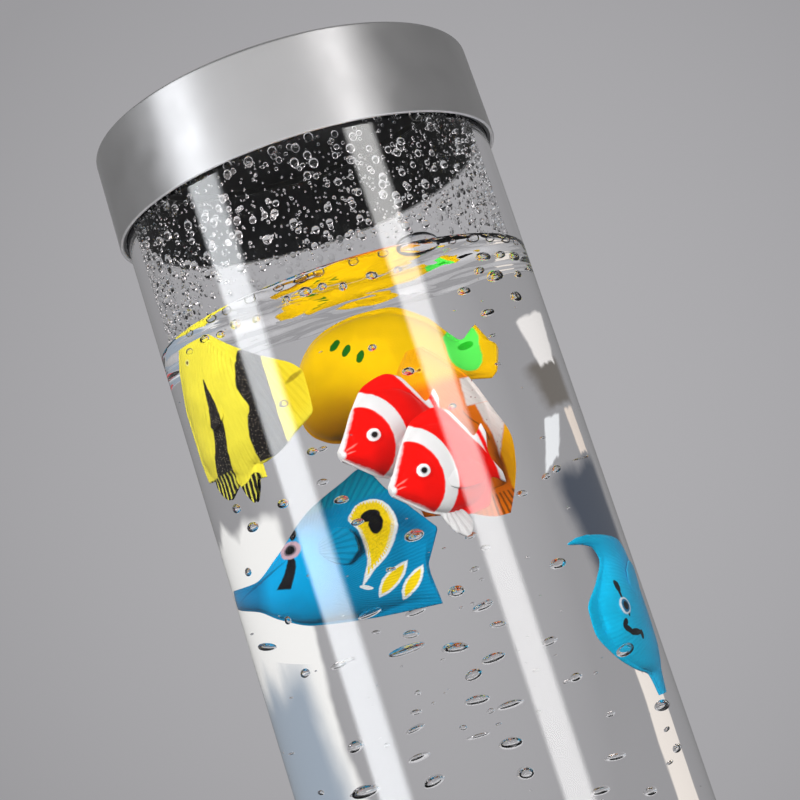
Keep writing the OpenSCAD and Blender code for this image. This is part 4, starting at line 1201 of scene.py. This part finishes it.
def makeBlueFish(setup):
    eye = eyeDome((15.6, 10), 2.6, 0.6)
    ribs = finRibs((22, -8), 2.4, 0.07, 26)
    piece = fishShape("blueFish", setup["rows"], relief=lambda place,
        height: eye(place, height) + ribs(place, height), tailCut=cutTail(setup))
    fins = sideFins((-22.4, 5.3, 8.6), 12, fanFin, ownPaint=True)
    paintStart("bluePaint", setup["body"])
    tree = paint["tree"]
    lay(oval((13, 3), (12, 12), 20, 0.3), setup["head"])
    lay(beyond((9.2, 0), 180, 1.6), setup["snout"])
    upperFin = both(beyond((22, 18.4), 98, 0.5), beyond((14, 14), 90, 0.4))
    lay(upperFin, setup["finBlue"])
    lay(faded(both(upperFin, rays((16, -4), 2.6, 0.4)), 0.5), tone(0, 100, 140))
    # painted shade: a darker blue patch high on the flank near the tail
    lay(faded(oval((39, 12.6), (6, 2.2), -42, 0.7), 0.7), tone(0, 74, 112))
    # white drop with a ticked edge, yellow inside, and a dark comma
    ticks = rays((33, 11), 5.2, 0.5)
    lay(teardrop(setup, 0, 0, 0, 0), setup["white"])
    lay(either(teardrop(setup, 0.7, 1.3, 0.9, 2.6), both(teardrop(setup, 0.3, 0.7, 0.5, 2), ticks)),
        setup["yellow"])
    lines = addNode(tree, "TexVoronoi", {"Vector": paint["place"], "Scale": 1.5},
        feature="DISTANCE_TO_EDGE").outputs["Distance"]
    lines = spread(tree, lines, 1.0, 0.0, 0.02, 0.07)
    lay(faded(both(teardrop(setup, 0.7, 1.3, 0.9, 2.6), lines), 0.35), tone(150, 130, 20))
    lay(either(oval((32.6, 15.1), (1.9, 1.5), 0), oval((33.9, 13), (1.3, 2.5), 12)), setup["black"])
    for at, long, wide, turn in (((36.8, -0.9), 5.0, 1.7, 51.5), ((40.5, -2.5), 4.5, 1.5, 58.8)):
        lay(leafPatch(at, long, wide, turn), setup["white"])
        lay(leafPatch(at, long - 1, wide - 0.5, turn), setup["yellow"])
    lay(oval((31.6, -1.9), (1.4, 0.5), -20), setup["white"])
    # dark streaks above and below the eye
    lay(oval((15.8, 13.7), (0.8, 1.3), -4), setup["black"])
    comma = both(drawn([(0, 11.8), (1, 12.3), (4, 14), (8, 15.2)], "height"),
        outside(drawn([(0, 15.2), (3.7, 16.6), (6, 17), (8, 16.6)], "height")),
        beyond((15, 0.6), 84), beyond((15, 8), -90))
    lay(comma, setup["black"])
    # painted shade: a thin dark line along the fold from the snout towards the eye
    lay(faded(oval((8.6, 3.6), (6.6, 0.28), 34, 0.4), 0.7), tone(0, 84, 128))
    layRings((15.6, 10), ((2.6, 2.2), setup["eyeRing"]), ((1.6, 1.35), tone(120, 108, 118)),
        ((1.2, 1.0), setup["black"]))
    skin = paintDone(rays((16, -4), 1.8, 0.5), 0.12)
    placeFish(piece, fins, skin, setup, "blue_fish", "fish_blue",
        finSkin("blueFin", tone(0, 148, 196), 0.6))


lightBlueFish = {
    "rows": [[0, 1.5, 1.1, -1.1, -1.5, 1], [5.5, 2.8, 2.2, -2.2, -2.8, 1.8],
             [8, 7, 6, -3.6, -4.2, 3],
             [13, 13, 11, -5, -5.8, 4.2], [20, 17.4, 14.4, -5.6, -6.4, 5],
             [25, 17, 13.6, -5.6, -6.4, 4.8],
             [31, 10.5, 8.8, -5, -6, 4], [36, 6.6, 5.6, -4.4, -5.2, 2.6],
             [39, 7.8, 6.8, -3, -3.6, 1.6],
             [40.3, 11, 10.2, -0.6, -1.2, 1.3], [41.4, 16.4, 15.6, 3, 2.4, 1],
             [42.4, 12.6, 12, 9, 8.4, 0.8]],
    "at": (38.2, -7.6, -150.6),
    "turn": (0, 90, 239.4),
    "cyan": tone(0, 190, 236),
    "deep": tone(0, 146, 204),
    "black": tone(12, 14, 18),
}


def makeLightBlueFish(setup):
    piece = fishShape("lightBlueFish", setup["rows"], relief=eyeDome((23.3, 7.7), 2.3, 0.6))
    fins = sideFins((-24, 3.8, -1), 12, paddleFin)
    paintStart("lightBluePaint", setup["cyan"])
    black = setup["black"]
    lay(faded(spread(paint["tree"], paint["height"], 1.0, 0.0, -4, 8), 0.7), setup["deep"])
    for at, size, turn in (((28.3, 7.3), (1.6, 0.75), 172), ((26.4, 7.6), (1.5, 0.35), 0),
            ((21.4, 7.3), (0.9, 0.4), 0), ((19.4, 9.5), (1.2, 0.7), 140),
            ((17.8, 9.1), (1.7, 0.75), 48), ((16.5, 6.7), (2.2, 0.85), 78),
            ((15.4, 4.4), (1.2, 0.65), 0)):
        lay(oval(at, size, turn), black)
    layRings((23.3, 7.7), ((2.1, 1.8), tone(214, 224, 232)), ((1.65, 1.3), tone(20, 108, 150)),
        ((1.1, 0.85), black))
    skin = paintDone(rays((20, -14), 2.4, 0.5), 0.08)
    placeFish(piece, fins, skin, setup, "light_blue_fish", "fish_light_blue")


makeButterflyFish(butterflyFish)
makeYellowFish(yellowFish)
makeBandedFish(bandedFish, "upper")
makeBandedFish(bandedFish, "lower")
makeOrangeFish(orangeFish)
makeBlueFish(blueFish)
makeLightBlueFish(lightBlueFish)
print("fish made")


# the CAD parts that stay as they are
# a finish: colour, roughness, metal, grain per metre, relief in mm, clearness
finishes = {
    "silver_plastic": ((184, 186, 190), 0.33, 0.55, 2600, 0.012, 0),
    "satin_aluminium": ((226, 225, 226), 0.36, 1, 1500, 0.006, 0),
    "black_plastic": ((24, 24, 27), 0.42, 0, 1800, 0.02, 0),
    "black_rubber": ((30, 30, 30), 0.72, 0, 700, 0.04, 0),
    "screw_steel": ((186, 188, 192), 0.28, 1, 2400, 0.01, 0),
    "nozzle_chrome": ((214, 216, 220), 0.12, 1, 900, 0.003, 0),
    "pin_brass": ((222, 184, 96), 0.26, 1, 1600, 0.006, 0),
    "light_board_white": ((236, 238, 236), 0.4, 0, 500, 0.01, 0),
    "light_chip": ((240, 216, 110), 0.3, 0, 1500, 0.01, 0),
    "circuit_green": ((18, 96, 48), 0.3, 0, 300, 0.01, 0),
    "component_white": ((228, 226, 214), 0.45, 0, 900, 0.015, 0),
    "porous_grey": ((146, 148, 150), 0.9, 0, 1500, 0.25, 0),
    "air_hose": ((214, 220, 216), 0.22, 0, 160, 0.02, 0.55),
    "valve_blue": ((26, 88, 190), 0.3, 0, 900, 0.012, 0.2),
    "rocker_red": ((196, 18, 20), 0.25, 0, 1200, 0.012, 0.15),
    "lead_black": ((22, 22, 24), 0.4, 0, 400, 0.03, 0),
    "lead_red": ((176, 20, 22), 0.4, 0, 400, 0.03, 0),
    "clear_acrylic": ((240, 246, 246), 0.04, 0, 120, 0.004, 0.95),
}
screwStretch = (1, 1, 6)    # of the grain on screws, along each axis


def partFinish(slotName, look):
    # two close tones in clouds, uneven sheen and a fine relief, all from the part's own coordinates
    material, tree, shader = startMaterial(slotName)
    colour, roughness, metal, grain, relief, clear = look
    base = tone(*colour)
    dark = tuple(0.93 * value for value in base[:3]) + (1,)
    stretch = screwStretch if slotName == "screw_steel" else (1, 1, 1)
    clouds = spread(tree, objectNoise(tree, 45, 4), 0.0, 1.0)
    fine = objectNoise(tree, grain, 2, stretch)
    colour = mixColour(tree, clouds, dark, base)
    if slotName == "circuit_green":
        place = addNode(tree, "TexCoord").outputs["Object"]
        tracks = addNode(tree, "TexBrick", {"Vector": place, "Color1": (0, 0, 0, 1),
            "Color2": (0, 0, 0, 1), "Mortar": (1, 1, 1, 1), "Scale": 160, "Mortar Size": 0.06})
        colour = mixColour(tree, calculate(tree, "MULTIPLY", tracks.outputs["Fac"], 0.5), colour,
            tone(60, 150, 84))
    if slotName == "porous_grey":
        place = addNode(tree, "TexCoord").outputs["Object"]
        fine = addNode(tree, "TexVoronoi", {"Vector": place, "Scale": grain}).outputs["Distance"]
        # painted shade: the porous stone is darker in its pits, where the relief sinks
        colour = mixColour(tree, spread(tree, fine, 0.0, 1.0, 0.1, 0.5), tone(84, 86, 88), colour)
    tree.links.new(colour, shader.inputs["Base Color"])
    rough = spread(tree, objectNoise(tree, 120, 3), roughness * 0.88, roughness * 1.12)
    tree.links.new(rough, shader.inputs["Roughness"])
    shader.inputs["Metallic"].default_value = metal
    shader.inputs["Transmission Weight"].default_value = clear
    bump(tree, shader, fine, 0.6, relief * mm)
    return material


finished = {}
for part in frame["record"]["subparts"]:
    node, slotName = part["node"], part["material_slot"]
    piece = bpy.data.objects.get(node)
    if piece is None or slotName not in finishes:
        continue
    if slotName not in finished:
        finished[slotName] = partFinish(slotName, finishes[slotName])
    if not piece.material_slots:
        piece.data.materials.append(None)
    for slot in piece.material_slots:
        slot.material = finished[slotName]
print("finishes on", len(finished), "slots")


# lamps; the two strips are only mirrored by the tube and the cap

def lampOnly(name, *pieces):
    group = bpy.data.collections.new(name)
    for one in pieces:
        group.objects.link(one)
    return group


def softStrip(lamp):
    # brightest along its middle, soft towards both long edges
    lamp.data.use_nodes = True
    tree = lamp.data.node_tree
    glow = tree.nodes["Emission"]
    across = addNode(tree, "NewGeometry").outputs["Parametric"]
    across = addNode(tree, "SeparateXYZ", {0: across}).outputs["X"]
    rise = spread(tree, across, 0.0, 1.0, 0.0, 0.2, "SMOOTHSTEP")
    fall = spread(tree, across, 1.0, 0.0, 0.75, 1.0, "SMOOTHSTEP")
    tree.links.new(calculate(tree, "MULTIPLY", rise, fall), glow.inputs["Strength"])


lamps = {
    "stripDistance": 0.8,
    "stripHeight": 0.98,
    "stripTall": 1.9,
    "left": {"colour": (0.94, 0.97, 1), "azimuth": 180 + 57, "wide": 0.34, "power": 24.5,
             "capPower": 3.9},
    "right": {"colour": (1, 0.99, 0.98), "azimuth": 180 - 39, "wide": 0.29, "power": 18.5,
              "capPower": 3.0},
}
glassOnly = lampOnly("glassOnly", tube, waterBody, wallDrops, surfaceBubbles)
capOnly = lampOnly("capOnly", bpy.data.objects["cap_shell"])
for sideName in ("left", "right"):
    strip = lamps[sideName]
    for name, power, group in (("strip", strip["power"], glassOnly),
            ("capStrip", strip["capPower"], capOnly)):
        lamp = addLamp(name + sideName.capitalize(), strip["azimuth"], lamps["stripHeight"],
            lamps["stripDistance"], (strip["wide"], lamps["stripTall"]), power, only=group)
        lamp.data.color = strip["colour"]
        softStrip(lamp)
# name, azimuth, height, distance, size, power
addLamp("capFront", 180 + 12, 1.2, 1.2, (1.8, 1.0), 3.0, only=capOnly)
for plainLamp in (("keyLamp", 180 + 35, 1.5, 1.2, (0.6, 0.6), 21),
        ("fillLamp", 180 - 45, 1.1, 1.3, (0.7, 0.9), 15),
        ("backLamp", 20, 1.6, 1.4, (0.8, 0.5), 5)):
    addLamp(*plainLamp, seen=False)

for kind in ("max_bounces", "transmission_bounces", "transparent_max_bounces"):
    setattr(scene.cycles, kind, 24)
scene.cycles.caustics_reflective = False
scene.cycles.caustics_refractive = False
